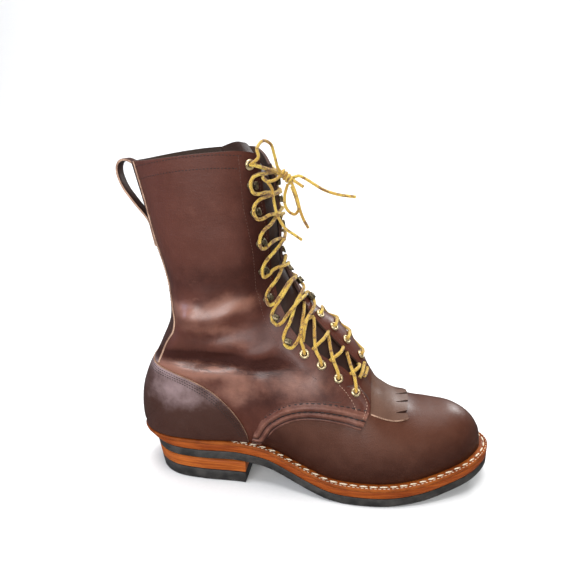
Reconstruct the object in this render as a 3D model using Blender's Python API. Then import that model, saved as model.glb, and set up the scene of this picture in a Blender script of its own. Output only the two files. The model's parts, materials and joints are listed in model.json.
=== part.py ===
"""Packer boot for the right foot: hollow laced upper on a stacked leather and rubber sole.

Sizes are millimetres while shapes are worked out: x runs from heel to toe, the outer side is -y, z is up.
Meshes are stored in metres, with the origin under the middle of the boot.
"""

import math

import bmesh
import bpy
import numpy as np
from mathutils import Matrix

MM = 0.001
CLEAR = 0.3            # gap between pieces that touch
OUTER, INNER = -1, 1   # sign of y on the two sides of the foot

# Sole
HEEL_BACK = 4          # x of the back of the sole
TOE_TIP = 317
HEEL_BREAST = 107      # x of the heel's front face
CAP_HEIGHT = 10.5
LIFT_HEIGHT = 10.5
OUTSOLE = 8
MIDSOLE = 6.5
WELT = 3
INSOLE = 4
SOLE_STEPS = 30        # rows of faces along each sole layer

# Upper
WALL = 2.4
OVERLAY = 1.6          # leather laid over the upper
HALF_COLUMNS = 13      # columns of faces from welt to throat on each side
UPPER_ROWS = 36
ROUNDNESS = 2.35       # 2 is an ellipse, more is squarer
FEATHER_BULGE = 1.03   # how much wider than the welt line a section gets at least
HEEL_Y = -2            # y of the back seam

# Lacing
LACE = 3.4             # diameter
LACE_SIDES = 6
FREE_LACE = 3.0        # diameter of the bow's loops and ends
KNOT = 5.6             # diameter of the wound knot
CORD_STEP = 6          # distance between the points of a loop or end
LACE_FROM_EDGE = 3.0   # where the lace turns, back from the throat edge
EYELET_FROM_EDGE = 11
EYELET_RADIUS = 4.2
EYELET_HOLE = 2.1
EYELET_HEIGHT = 1.2
EYELET_SIDES = 10
HOOK_FROM_EDGE = 12.5
HOOK_WIDTH = 5.0
HOOK_METAL = 0.9

OUTLINE = (
    # x, outer y, inner y of the sole's edge
    (HEEL_BACK, HEEL_Y, HEEL_Y),
    (8, -18, 13),
    (16, -28, 23),
    (33, -37, 32),
    (60, -40, 34.5),
    (105, -40, 32),
    (130, -42, 30.5),
    (155, -47.5, 35),
    (180, -53, 44),
    (205, -55.5, 51.5),
    (230, -53.5, 55),
    (255, -46.5, 54.5),
    (280, -34.5, 49),
    (298, -23.5, 40),
    (310, -10.5, 29),
    (TOE_TIP, 9.5, 9.5),
)

SOLE_BOTTOM = (
    # x, z of the outsole's underside
    (0, 21),
    (60, 21),
    (107, 21),
    (125, 18.5),
    (145, 12),
    (165, 5),
    (183, 0.6),
    (192, 0),
    (226, 0),
    (245, 1.2),
    (270, 4.6),
    (295, 10),
    (TOE_TIP, 15.5),
)

HEEL_BACK_LINE = (
    # z, x of the heel's back edge: undercut below the welt
    (0, 20.5),
    (10.5, 18.5),
    (21, 16.5),
    (29, 14),
    (33, 8.5),
    (35.5, 5.5),
    (38.5, HEEL_BACK),
)

FEATHER_INSET = (
    # x, how far the upper stands in from the sole's edge
    (0, 2.6),
    (45, 2.8),
    (110, 5),
    (170, 6),
    (230, 6.5),
    (TOE_TIP, 7),
)

FOOT_SECTIONS = (
    # base x on the welt, top x, top z, half width outer, half width inner, ridge y, throat y, half throat
    (310, 308.5, 42, 0, 0, 9, 9, 0),
    (308.4, 306.5, 47.5, 5, 5, 9, 9, 0),
    (303.5, 301.5, 54.5, 14, 14, 10, 10, 0),
    (295, 293, 60.5, 23, 23, 10, 10, 0),
    (282, 281, 64.5, 32, 32, 10, 10, 0),
    (264, 264, 66, 41, 41, 10, 10, 0),
    (244, 247, 70, 46.5, 46.5, 10, 8, 0),
    (224, 230, 79, 49, 49, 9, 4, 0),
    (206, 217, 89, 48.3, 48.3, 8, -2, 0),
    (192, 208, 98, 46.5, 46, 7, -8, 0),
    (178, 200, 110, 44, 43.5, 6, -12.5, 7.5),
    (162, 190, 124, 42.5, 43, 6, -14, 7.5),
    (143, 177, 138, 41, 42, 6, -14.5, 8),
    (120, 164, 149, 39, 40, 5, -13, 8),
    (95, 154, 160, 38.5, 38.5, 5, -10, 8.5),
    (68, 147, 169.5, 38.5, 38.5, 4, -6.5, 9),
    (44, 142, 177, 37.5, 38, 4, -3.5, 9.5),
    (23, 138.5, 183, 37, 37.5, 4, -1.5, 10),
    (11, 136, 187, 36.5, 37, 4, 0, 10.5),
    (6.6, 134.5, 190, 36, 36.5, 4, 0.5, 10.5),
)

SHAFT_SECTIONS = (
    # back x, back z, front x, front z, half width outer, half width inner, ridge y, throat y, half throat
    (5.2, 52, 133, 195, 36, 36.5, 4, 1, 11),
    (7.5, 73, 132, 202, 36.5, 37, 4, 1.5, 11),
    (15.5, 95, 131.5, 209, 37, 37.5, 4, 1.5, 11.5),
    (27.5, 118, 131.2, 216, 37.5, 38, 4, 1, 12),
    (37.5, 140, 130.6, 223, 38, 38.5, 4, 0.5, 12.5),
    (37.8, 161, 130, 231, 39, 39.5, 4, 0, 13),
    (34.5, 184, 129, 240, 40, 40.5, 4, 0, 13.5),
    (28.5, 209, 127.8, 250, 41, 41.5, 4, -0.5, 13.5),
    (21, 241, 126, 266, 42.5, 43, 3, -1, 14),
    (13.5, 273, 123, 283, 44, 44, 2, -1.5, 14.5),
)

EYELET_ROWS = (9.65, 11.0, 12.0, 12.9, 28.5)
HOOK_ROWS = (13.9, 15.45, 17.15, 20.75, 23.95, 26.4, 27.5)

COLLAR_CROWN = 5       # how far the collar bows up between back and front
CROWN_ROWS = 4         # sections over which that bow fades out below the collar


def curve(table_x, table_y, x):
    """Smooth curve through the rows of a table."""
    table_x = np.asarray(table_x, float)
    table_y = np.asarray(table_y, float)
    slope = np.gradient(table_y, table_x)
    row = np.clip(np.searchsorted(table_x, x) - 1, 0, len(table_x) - 2)
    span = table_x[row + 1] - table_x[row]
    t = (x - table_x[row]) / span
    ends = (1 + 2 * t) * (1 - t) ** 2 * table_y[row] + t * t * (3 - 2 * t) * table_y[row + 1]
    return ends + span * (t * (1 - t) ** 2 * slope[row] - t * t * (1 - t) * slope[row + 1])


def column(table, number):
    return np.array([row[number] for row in table], float)


def along_sole(x):
    """Share of the way from heel to toe, stretched at both ends so that round ends stay round."""
    share = (np.asarray(x, float) - HEEL_BACK) / (TOE_TIP - HEEL_BACK)
    return np.arccos(1 - 2 * np.clip(share, 0, 1)) / math.pi


def sole_edges(inset, steps=SOLE_STEPS):
    """Outer and inner edge of the sole, each from heel to toe, moved in by inset (a number or a table)."""
    share = np.linspace(0, 1, steps + 1)
    x = HEEL_BACK + (TOE_TIP - HEEL_BACK) * (1 - np.cos(math.pi * share)) / 2
    table_share = along_sole(column(OUTLINE, 0))
    outer = np.stack([x, curve(table_share, column(OUTLINE, 1), share)], 1)
    inner = np.stack([x, curve(table_share, column(OUTLINE, 2), share)], 1)
    loop = np.concatenate([outer, inner[-2:0:-1]])
    tangent = np.roll(loop, -1, 0) - np.roll(loop, 1, 0)
    inward = np.stack([-tangent[:, 1], tangent[:, 0]], 1)
    inward /= np.linalg.norm(inward, axis=1, keepdims=True)
    depth = curve(column(inset, 0), column(inset, 1), loop[:, 0]) if isinstance(inset, tuple) else inset
    loop = loop + inward * np.reshape(depth, (-1, 1))
    outer = loop[:steps + 1]
    inner = np.concatenate([loop[:1], loop[:steps - 1:-1]])
    return outer, inner


def sole_bottom(x):
    return np.maximum(curve(column(SOLE_BOTTOM, 0), column(SOLE_BOTTOM, 1), x), 0)


def welt_top(x):
    return sole_bottom(x) + OUTSOLE + MIDSOLE + WELT


def undercut(x, z):
    """Draw a point of the heel forward by as much as the heel's back leans in at its height."""
    if x > HEEL_BREAST:
        return x
    back = float(curve(column(HEEL_BACK_LINE, 0), column(HEEL_BACK_LINE, 1), z))
    return HEEL_BREAST - (HEEL_BREAST - x) * (HEEL_BREAST - back) / (HEEL_BREAST - HEEL_BACK)


def new_object(name, bm, material):
    """Turn a bmesh in millimetres into an object in metres."""
    bmesh.ops.remove_doubles(bm, verts=bm.verts, dist=0.002)
    bmesh.ops.dissolve_degenerate(bm, edges=bm.edges, dist=0.001)
    bmesh.ops.recalc_face_normals(bm, faces=bm.faces)
    mesh = bpy.data.meshes.new(name)
    bm.to_mesh(mesh)
    bm.free()
    mesh.transform(Matrix.Scale(MM, 4))
    piece = bpy.data.objects.new(name, mesh)
    bpy.context.scene.collection.objects.link(piece)
    if material:
        mesh.materials.append(material)
    return piece


def loft(rings, closed=False):
    """Closed skin over rings of points; the ends are capped unless the rings close on themselves."""
    bm = bmesh.new()
    rows = [[bm.verts.new(point) for point in ring] for ring in rings]
    size = len(rows[0])
    pairs = list(zip(rows, rows[1:]))
    if closed:
        pairs.append((rows[-1], rows[0]))
    for row, after in pairs:
        for i in range(size):
            j = (i + 1) % size
            bm.faces.new((row[i], row[j], after[j], after[i]))
    if not closed:
        bm.faces.new(rows[0][::-1])
        bm.faces.new(rows[-1])
    return bm


def material(name, colour, roughness, metallic=0.0):
    made = bpy.data.materials.new(name)
    made.use_nodes = True
    shader = made.node_tree.nodes["Principled BSDF"]
    shader.inputs["Base Color"].default_value = (*colour, 1)
    shader.inputs["Roughness"].default_value = roughness
    shader.inputs["Metallic"].default_value = metallic
    return made


# Sole pieces

def sole_point(edge_point, height):
    """Point of the sole's edge at a height above the outsole's underside."""
    x, y = edge_point
    z = float(sole_bottom(x)) + height
    return undercut(x, z), y, z


def sole_ring(outside, inside, low, high):
    corners = ((outside, low), (outside, high), (inside, high), (inside, low))
    return [sole_point(edge_point, height) for edge_point, height in corners]


def sole_layer(name, low, high, inset, skin):
    """One full layer of the sole between two heights above the outsole's underside."""
    outer, inner = sole_edges(inset)
    return new_object(name, loft([sole_ring(*pair, low, high) for pair in zip(outer, inner)]), skin)


def welt(skin):
    """Ring on the midsole that carries the upper's edge."""
    low = OUTSOLE + MIDSOLE
    hidden = tuple((x, inset + WALL + 3 * CLEAR) for x, inset in FEATHER_INSET)
    loops = []
    for inset in (0, hidden):
        outer, inner = sole_edges(inset)
        loops.append(np.concatenate([outer, inner[-2:0:-1]]))
    rings = [sole_ring(*pair, low, low + WELT - CLEAR) for pair in zip(*loops)]
    return new_object("welt", loft(rings, closed=True), skin)


def insole(skin):
    inset = tuple((x, depth + WALL + 5 * CLEAR) for x, depth in FEATHER_INSET)
    low = OUTSOLE + MIDSOLE + CLEAR
    return sole_layer("insole", low, low + INSOLE, inset, skin)


def heel_outline(z):
    """Outline of the heel at one height: the sole's edge up to the breast."""
    points = []
    for edge, order in zip(sole_edges(0), (1, -1)):
        breast_y = float(np.interp(HEEL_BREAST, edge[:, 0], edge[:, 1]))
        side = [(undercut(x, z), y, z) for x, y in edge if x < HEEL_BREAST - 4]
        side.append((HEEL_BREAST, breast_y, z))
        points.extend(side[::order])
    return points[:-1]


def heel_layer(name, low, high, skin):
    return new_object(name, loft([heel_outline(low), heel_outline(high)]), skin)


# Upper

def all_sections():
    """Rows of both tables with a base height each, from toe to collar."""
    foot = [(row[0], float(welt_top(row[0])), *row[1:]) for row in FOOT_SECTIONS]
    return foot + list(SHAFT_SECTIONS)


class Upper:
    """The boot's outer surface, by row along the sections and by angle round each section."""

    def __init__(self):
        self.sections = all_sections()
        self.foot_rows = len(FOOT_SECTIONS)
        self.last = len(self.sections) - 1
        self.outer_edge, self.inner_edge = sole_edges(FEATHER_INSET, steps=240)

    def section(self, row):
        number = np.arange(len(self.sections))
        values = [float(curve(number, column(self.sections, i), row)) for i in range(9)]
        base_x, base_z, top_x, top_z, outer, inner, ridge, throat, half_throat = values
        half_throat = max(half_throat, 0)
        feather = {OUTER: HEEL_Y, INNER: HEEL_Y}
        if row < self.foot_rows - 1:
            base_z = float(welt_top(base_x))
            for side, edge in ((OUTER, self.outer_edge), (INNER, self.inner_edge)):
                feather[side] = float(np.interp(base_x, edge[:, 0], edge[:, 1]))
        centre = (feather[OUTER] + feather[INNER]) / 2
        spread = (feather[INNER] - feather[OUTER]) / 2
        wide = {OUTER: max(outer, FEATHER_BULGE * spread), INNER: max(inner, FEATHER_BULGE * spread)}
        crown = COLLAR_CROWN * max(0, 1 - (self.last - row) / CROWN_ROWS) ** 2
        return {
            "crown": crown, "base": (base_x, base_z), "top": (top_x, top_z), "centre": centre, "ridge": ridge,
            "spread": spread, "wide": wide, "edge": {OUTER: throat - half_throat, INNER: throat + half_throat},
        }

    def angle_at(self, section, side, from_ridge):
        """Angle from the ridge to a throat edge; positive on the edge's own side."""
        away = side * from_ridge
        wide = section["wide"][side if away >= 0 else -side]
        if wide == 0:
            return 0.0
        return math.copysign(math.asin(min(abs(away) / wide, 1) ** (ROUNDNESS / 2)), away)

    def base_angle(self, section, side):
        wide = section["wide"][side]
        if wide == 0:
            return math.pi / 2
        return math.pi - math.asin((section["spread"] / wide) ** (ROUNDNESS / 2))

    def throat_angle(self, section, side):
        return self.angle_at(section, side, section["edge"][side] - section["ridge"])

    def at(self, section, side, angle):
        """Point of a section at an angle from its ridge, counted positive towards the given side."""
        if angle < 0:
            side, angle = -side, -angle
        start = -math.cos(self.base_angle(section, side))
        share = (start + math.cos(angle)) / (1 + start)
        out = abs(math.sin(angle)) ** (2 / ROUNDNESS) * section["wide"][side]
        (base_x, base_z), (top_x, top_z) = section["base"], section["top"]
        middle = section["centre"] + (section["ridge"] - section["centre"]) * share * share
        bow = section["crown"] * 4 * share * (1 - share)
        return np.array((
            base_x + (top_x - base_x) * share,
            middle + side * out,
            base_z + CLEAR + (top_z - base_z - CLEAR) * share + bow,
        ))

    def point(self, row, side, share):
        """Point at a share of the way from the welt (0) to the throat edge (1) on one side."""
        section = self.section(row)
        base = self.base_angle(section, side)
        return self.at(section, side, base + (self.throat_angle(section, side) - base) * share)

    def back_from_edge(self, row, side, distance):
        """Share at which a section has run a distance back from its throat edge."""
        shares = np.linspace(1.0, 0.4, 25)
        line = np.array([self.point(row, side, share) for share in shares])
        run = np.concatenate([[0], np.cumsum(np.linalg.norm(np.diff(line, axis=0), axis=1))])
        return float(np.interp(distance, run, shares))

    def frame(self, row, side, from_edge):
        """Point back from the throat edge, and directions to the throat, up the boot and out of the leather."""
        share = self.back_from_edge(row, side, from_edge)
        here = self.point(row, side, share)
        throat = unit(self.point(row, side, share + 0.02) - here)
        up = self.point(row + 0.1, side, share) - here
        out = unit(np.cross(throat, up)) * -side
        return here, throat, unit(np.cross(out, throat)) * -side, out

    def across(self, row, position):
        """Point over a section's front: position 0 is where the lace turns on the outer side, 1 the inner."""
        section = self.section(row)
        ends = []
        for side in (OUTER, INNER):
            share = self.back_from_edge(row, side, LACE_FROM_EDGE)
            base = self.base_angle(section, side)
            ends.append(side * (base + (self.throat_angle(section, side) - base) * share))
        return self.at(section, INNER, ends[0] + (ends[1] - ends[0]) * position)

    def above(self, row, position, height):
        """Point held a height above the front of a section."""
        here = self.across(row, position)
        along = self.across(row + 0.05, position) - self.across(row - 0.05, position)
        over = self.across(row, position + 0.02) - self.across(row, position - 0.02)
        return here + unit(np.cross(over, along)) * height

    def row_lines(self, first=0, last=None):
        """Rows of the upper's own grid from one section to another."""
        rows = np.linspace(0, self.last, UPPER_ROWS + 1)
        return rows[(rows >= first) & (rows <= (self.last if last is None else last))]

    def surface(self, rows, halves=(OUTER, INNER)):
        """Open grid of faces over the surface between two rows."""
        shares = np.linspace(0, 1, HALF_COLUMNS + 1)
        bm = bmesh.new()
        for side in halves:
            grid = [[bm.verts.new(self.point(row, side, share)) for share in shares] for row in rows]
            add_grid(bm, grid, side == OUTER)
        return merged(bm)


def unit(vector):
    return np.asarray(vector, float) / np.linalg.norm(vector)


def add_grid(bm, grid, forward):
    """Triangles over a grid, each square cut along its shorter diagonal so that offsets of it stay alike."""
    for line, after in zip(grid, grid[1:]):
        for i in range(len(line) - 1):
            a, b, c, d = line[i], line[i + 1], after[i + 1], after[i]
            if (a.co - c.co).length < (b.co - d.co).length:
                halves = ((a, b, c), (a, c, d))
            else:
                halves = ((a, b, d), (b, c, d))
            for corners in halves:
                bm.faces.new(corners if forward else corners[::-1])


def merged(bm):
    bmesh.ops.remove_doubles(bm, verts=bm.verts, dist=0.01)
    bmesh.ops.dissolve_degenerate(bm, edges=bm.edges, dist=0.005)
    bm.normal_update()
    return bm


def shell(sheet, outside, inside):
    """Closed solid between two offsets of an open sheet; takes the sheet over."""
    faces = list(sheet.faces)
    rim = [edge for edge in sheet.edges if edge.is_boundary]
    twin = {vert: sheet.verts.new(vert.co + vert.normal * inside) for vert in list(sheet.verts)}
    for edge in rim:
        loop = edge.link_loops[0]
        start, end = loop.vert, loop.link_loop_next.vert
        sheet.faces.new((end, start, twin[start], twin[end]))
    for face in faces:
        sheet.faces.new([twin[vert] for vert in reversed(face.verts)])
    for vert in twin:
        vert.co = vert.co + vert.normal * outside
    return sheet


# Leather laid over the upper

def cutter(name, outline, axis, low, high):
    """Hidden prism: an outline of two coordinates drawn along the third axis."""
    def place(pair, depth):
        point = list(pair)
        point.insert(axis, depth)
        return point
    rings = [[place(pair, depth) for pair in outline] for depth in (low, high)]
    prism = new_object(name, loft(rings), None)
    prism.hide_render = True
    prism.display_type = "WIRE"
    return prism


def overlay(name, upper, rows, halves, prism, skin):
    """Piece of leather over the upper: a shell outside the wall, kept inside a prism."""
    sheet = upper.surface(upper.row_lines(*rows), halves)
    piece = new_object(name, shell(sheet, CLEAR + OVERLAY, CLEAR), skin)
    cut = piece.modifiers.new("outline", "BOOLEAN")
    cut.operation = "INTERSECT"
    cut.solver = "EXACT"
    cut.object = prism
    return piece


def counter(upper, skin):
    """Heel piece; its edge falls from the backstay forward to the welt."""
    behind_heel, foot = -20, 39.2
    edge = ((22, 113), (38, 107.5), (51, 104.5), (69.5, 98), (83.5, 89.5), (96, 78), (105, 64.5), (108.5, 50))
    outline = ((behind_heel, foot), (behind_heel, 115)) + edge + ((109.5, foot),)
    prism = cutter("counter_cut", outline, 1, -80, 80)
    return overlay("counter", upper, (11.5, 25), (OUTER, INNER), prism, skin)


def backstay(upper, skin):
    """Strip up the back seam, from the counter to the collar."""
    half_widths = ((117.5, 18), (124, 16), (147, 16.5), (163, 17), (198, 19), (234, 23), (276, 26))
    outline = [(HEEL_Y - half, z) for z, half in half_widths]
    outline += [(HEEL_Y + half, z) for z, half in reversed(half_widths)]
    prism = cutter("backstay_cut", outline, 0, -30, 75)
    return overlay("backstay", upper, (19, 29), (OUTER, INNER), prism, skin)


def quarter_band(side, upper, skin):
    """Lap of the quarter over the vamp, from the welt forward to the foot of the throat."""
    low = ((112, 38.6), (119.5, 38.2), (137, 62), (153.5, 70), (169.5, 70.3), (187, 69), (204, 65.7))
    front = ((208.5, 77), (210.5, 85), (206.5, 88), (202, 82.5), (196, 79))
    high = ((175.5, 84.3), (158, 84), (139, 79.5), (126, 69.5), (116, 54))
    name = "quarter_band_outer" if side == OUTER else "quarter_band_inner"
    prism = cutter(name + "_cut", low + front + high, 1, *sorted((0, side * 90)))
    return overlay(name, upper, (6.5, 15.5), (side,), prism, skin)


def kiltie(upper, skin):
    """Fringed flap on the vamp; each slit widens to the front."""
    front, middle, slit = 243.5, 9.5, 11
    spacing, count, opening, root, bow = 9.5, 8, 2.2, 0.4, 0.004
    half_widths = ((212.5, 41), (220, 41), (231, 38.5), (238, 36))
    outline = [(x, middle - half) for x, half in half_widths]
    first = middle - spacing * (count - 1) / 2
    for number in range(count):
        y = first + number * spacing
        tip = front - bow * (y - middle) ** 2
        outline += [(tip, y - opening / 2), (front - slit, y - root / 2)]
        outline += [(front - slit, y + root / 2), (tip, y + opening / 2)]
    outline += [(x, middle + half) for x, half in reversed(half_widths)]
    prism = cutter("kiltie_cut", outline, 2, 50, 140)
    return overlay("kiltie", upper, (4.5, 8.9), (OUTER, INNER), prism, skin)


def tongue(upper, skin):
    """Flap behind the throat; its top leans back from the collar's front and rises over it."""
    wing, lean_from, lean, rise, thick, columns = 13, 255, 12, 5, 2, 5
    collar_front = SHAFT_SECTIONS[-1][3]
    bm = bmesh.new()
    grid = []
    for row in upper.row_lines(8.4):
        section = upper.section(row)
        line = []
        for y in np.linspace(section["edge"][OUTER] - wing, section["edge"][INNER] + wing, columns + 1):
            angle = upper.angle_at(section, INNER, y - section["ridge"])
            point = upper.at(section, INNER, angle)
            back = max(0, (section["top"][1] - lean_from) / (collar_front - lean_from)) ** 2
            line.append(bm.verts.new(point + np.array((-lean * back, 0, rise * back))))
        grid.append(line)
    add_grid(bm, grid, True)
    behind = -(WALL + 3 * CLEAR)
    return new_object("tongue", shell(merged(bm), behind, behind - thick), skin)


def pull_loop(skin):
    """Strap from inside the collar, up over its back edge and down to the backstay."""
    route = ((21.8, 256), (20.4, 268), (18, 276), (11.5, 279), (3, 278), (-4.5, 273), (-7.5, 264), (-5, 252))
    route += ((2.5, 240), (11.5, 231), (18.5, 223.5), (22.6, 216), (25.8, 203))
    half_width, thick = 5.5, 2
    path = np.array(route, float)
    rings = []
    for i, (x, z) in enumerate(path):
        tangent = unit(path[min(i + 1, len(path) - 1)] - path[max(i - 1, 0)])
        side_x, side_z = -tangent[1] * thick / 2, tangent[0] * thick / 2
        ring = []
        for face, edge in ((1, -1), (1, 1), (-1, 1), (-1, -1)):
            ring.append((x + face * side_x, HEEL_Y + edge * half_width, z + face * side_z))
        rings.append(ring)
    return new_object("pull_loop", loft(rings), skin)


# Lacing

def eyelet(name, upper, row, side, skin):
    here, throat, up, out = upper.frame(row, side, EYELET_FROM_EDGE)
    seat = ((EYELET_HOLE, 0), (EYELET_RADIUS, 0))
    rim = ((EYELET_RADIUS - 0.6, EYELET_HEIGHT), (EYELET_HOLE + 0.4, EYELET_HEIGHT))
    rings = []
    for step in range(EYELET_SIDES):
        turn = 2 * math.pi * step / EYELET_SIDES
        radial = throat * math.cos(turn) + up * math.sin(turn)
        rings.append([here + radial * radius + out * (height + 1.5 * CLEAR) for radius, height in seat + rim])
    return new_object(name, loft(rings, closed=True), skin)


def hook(name, upper, row, side, skin):
    """Strip of metal that lies on the leather, bends up at the throat side and curls back."""
    here, throat, up, out = upper.frame(row, side, HOOK_FROM_EDGE)
    route = np.array(((-4, 1.1), (2.6, 1.1), (4.4, 2.1), (4.7, 3.8), (3.3, 5.2), (0.2, 5.4)))
    rings = []
    for i, (along, height) in enumerate(route):
        tangent = unit(route[min(i + 1, len(route) - 1)] - route[max(i - 1, 0)])
        normal = np.array((-tangent[1], tangent[0])) * HOOK_METAL / 2
        ring = []
        for face, edge in ((1, -1), (1, 1), (-1, 1), (-1, -1)):
            a, h = along + face * normal[0], height + face * normal[1]
            ring.append(here + throat * a + out * h + up * edge * HOOK_WIDTH / 2)
        rings.append(ring)
    return new_object(name, loft(rings), skin)


def tube(path, diameter, sides):
    """Closed tube along a path; each ring is turned as little as possible from the one before."""
    path = np.asarray(path, float)
    first = np.array((0, 0, 1.0))
    rings = []
    for i, point in enumerate(path):
        tangent = unit(path[min(i + 1, len(path) - 1)] - path[max(i - 1, 0)])
        first = unit(first - tangent * np.dot(first, tangent))
        second = np.cross(tangent, first)
        turns = [2 * math.pi * step / sides for step in range(sides)]
        rings.append([point + (first * math.cos(t) + second * math.sin(t)) * diameter / 2 for t in turns])
    return loft(rings)


def lace_route(upper):
    """Down the throat from side to side, across the lowest bar and up again, over what lies below."""
    rows = sorted(EYELET_ROWS + HOOK_ROWS)
    low = LACE / 2 + 2.2 * CLEAR
    up = []
    for strand in (0, 1):
        line = []
        for number, (row, after) in enumerate(zip(rows, rows[1:])):
            outward = (number + strand) % 2 == 0
            for spot, over in ((0, 0), (0.22, 0.6), (0.5, 1.1), (0.78, 0.6)):
                height = low + strand * over * LACE
                line.append(upper.above(row + (after - row) * spot, spot if outward else 1 - spot, height))
        line.append(upper.above(rows[-1], (len(rows) - 1 + strand) % 2, low))
        up.append(line)
    bar = [upper.above(rows[0], spot, low) for spot in (0.3, 0.7)]
    return up[0][::-1] + bar + up[1]


def lace(upper, skin):
    """All crossings as one solid."""
    return new_object("lace", tube(lace_route(upper), LACE, LACE_SIDES), skin)


CORDS = {
    # route of each free cord of the bow: x, y, z
    "lace_top_loop": (
        (116.7, -26.2, 274.5), (119.8, -29, 279), (118.6, -28.6, 284), (119.3, -26, 287), (122.3, -20, 290),
        (126.4, -15, 287.5), (129, -13, 279), (132.3, -12, 268.2)),
    "lace_knot": ((133, -10, 266.7), (137.7, -10, 262.8), (142.5, -10, 259)),
    "lace_short_end": ((144.2, -11.5, 259.9), (148, -12.3, 257.7), (151.7, -13, 255.5)),
    "lace_long_end": (
        (144, -7.5, 262.6), (147, -7, 263.4), (151.3, -7, 261.8), (158.4, -7, 257.7), (167.2, -8, 253),
        (176.7, -9, 250.2), (192.2, -10, 248.4)),
    "lace_hanging_loop": (
        (139, -10.8, 257.4), (136.9, -13, 247.5), (137.8, -14, 240.6), (141.5, -15, 235.8), (145.5, -15, 234.5),
        (148, -14, 237.8), (146.7, -13, 243.8), (142, -11, 255.6)),
    "lace_hanging_end": ((148.2, -15.2, 235.4), (152.7, -16, 230.2), (156.4, -16, 224)),
    "lace_cross_loop": (
        (121.5, -23.7, 263.4), (123.5, -22.3, 260.6), (127.2, -19.5, 260.2), (131, -15.5, 261.5),
        (133.5, -13.6, 263.5)),
    "lace_strand": (
        (127.8, -19.2, 254.8), (129.2, -19, 246.4), (131, -18.5, 237), (134.4, -17.5, 229), (138.7, -17, 223),
        (144.9, -16, 218.6), (151.2, -15, 214.2)),
}


def cord(name, route, diameter, skin):
    """Round cord on a smooth line through its route."""
    route = np.array(route, float)
    run = np.concatenate([[0], np.cumsum(np.linalg.norm(np.diff(route, axis=0), axis=1))])
    count = max(3, round(run[-1] / CORD_STEP) + 1)
    line = np.stack([curve(run, route[:, i], np.linspace(0, run[-1], count)) for i in range(3)], 1)
    data = bpy.data.curves.new(name, "CURVE")
    data.dimensions = "3D"
    data.bevel_depth = diameter / 2 * MM
    data.bevel_resolution = 2
    data.use_fill_caps = True
    spline = data.splines.new("POLY")
    spline.points.add(count - 1)
    for point, place in zip(spline.points, line * MM):
        point.co = (*place, 1)
    piece = bpy.data.objects.new(name, data)
    bpy.context.scene.collection.objects.link(piece)
    data.materials.append(skin)
    return piece


def stand_on_origin():
    """Move everything so that the origin is under the middle of the boot's box, set by sole and pull loop."""
    reach = [bpy.data.objects[name].data.vertices for name in ("outsole", "heel_cap", "pull_loop")]
    corners = [vert.co for verts in reach for vert in verts]
    low = np.min(corners, axis=0)
    high = np.max(corners, axis=0)
    shift = Matrix.Translation((-(low[0] + high[0]) / 2, -(low[1] + high[1]) / 2, -low[2]))
    for piece in bpy.data.objects:
        piece.data.transform(shift)


def main():
    for old in list(bpy.data.objects):
        bpy.data.objects.remove(old)
    rubber = material("rubber", (0.012, 0.012, 0.013), 0.7)
    stack = material("stack_leather", (0.42, 0.16, 0.045), 0.5)
    edge = material("welt_leather", (0.5, 0.22, 0.07), 0.5)
    lining = material("lining_leather", (0.3, 0.2, 0.12), 0.8)
    shaft = material("shaft_leather", (0.1, 0.035, 0.022), 0.4)
    vamp = material("vamp_leather", (0.06, 0.025, 0.018), 0.45)
    brass = material("brass", (0.45, 0.3, 0.1), 0.35, 1.0)
    cloth = material("lace_cloth", (0.6, 0.36, 0.06), 0.8)

    heel_layer("heel_cap", 0, CAP_HEIGHT - CLEAR, rubber)
    heel_layer("heel_lift", CAP_HEIGHT, CAP_HEIGHT + LIFT_HEIGHT - CLEAR, stack)
    sole_layer("outsole", 0, OUTSOLE - CLEAR, 0, rubber)
    sole_layer("midsole", OUTSOLE, OUTSOLE + MIDSOLE - CLEAR, 0.3, stack)
    welt(edge)
    insole(lining)

    upper = Upper()
    new_object("upper", shell(upper.surface(upper.row_lines()), 0, -WALL), shaft)
    tongue(upper, vamp)
    counter(upper, vamp)
    backstay(upper, vamp)
    quarter_band(OUTER, upper, shaft)
    quarter_band(INNER, upper, shaft)
    kiltie(upper, vamp)
    pull_loop(vamp)

    for side, word in ((OUTER, "outer"), (INNER, "inner")):
        for number, row in enumerate(EYELET_ROWS, 1):
            eyelet(f"eyelet_{word}_{number}", upper, row, side, brass)
        for number, row in enumerate(HOOK_ROWS, 1):
            hook(f"hook_{word}_{number}", upper, row, side, brass)
    lace(upper, cloth)
    for name, route in CORDS.items():
        cord(name, route, KNOT if name == "lace_knot" else FREE_LACE, cloth)
    stand_on_origin()


main()
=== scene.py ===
"""Looks of the packer boot: creased leather, seams, metal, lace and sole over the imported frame.

Shapes are worked out in the boot's own millimetres, as in the part's source: x runs from heel to toe,
the outer side is -y, z is up. Every finished mesh is stored in metres in the frame's place.
"""

import json
import math

import bmesh
import bpy
import numpy as np
from mathutils import Matrix, Vector
from mathutils.bvhtree import BVHTree

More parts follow.
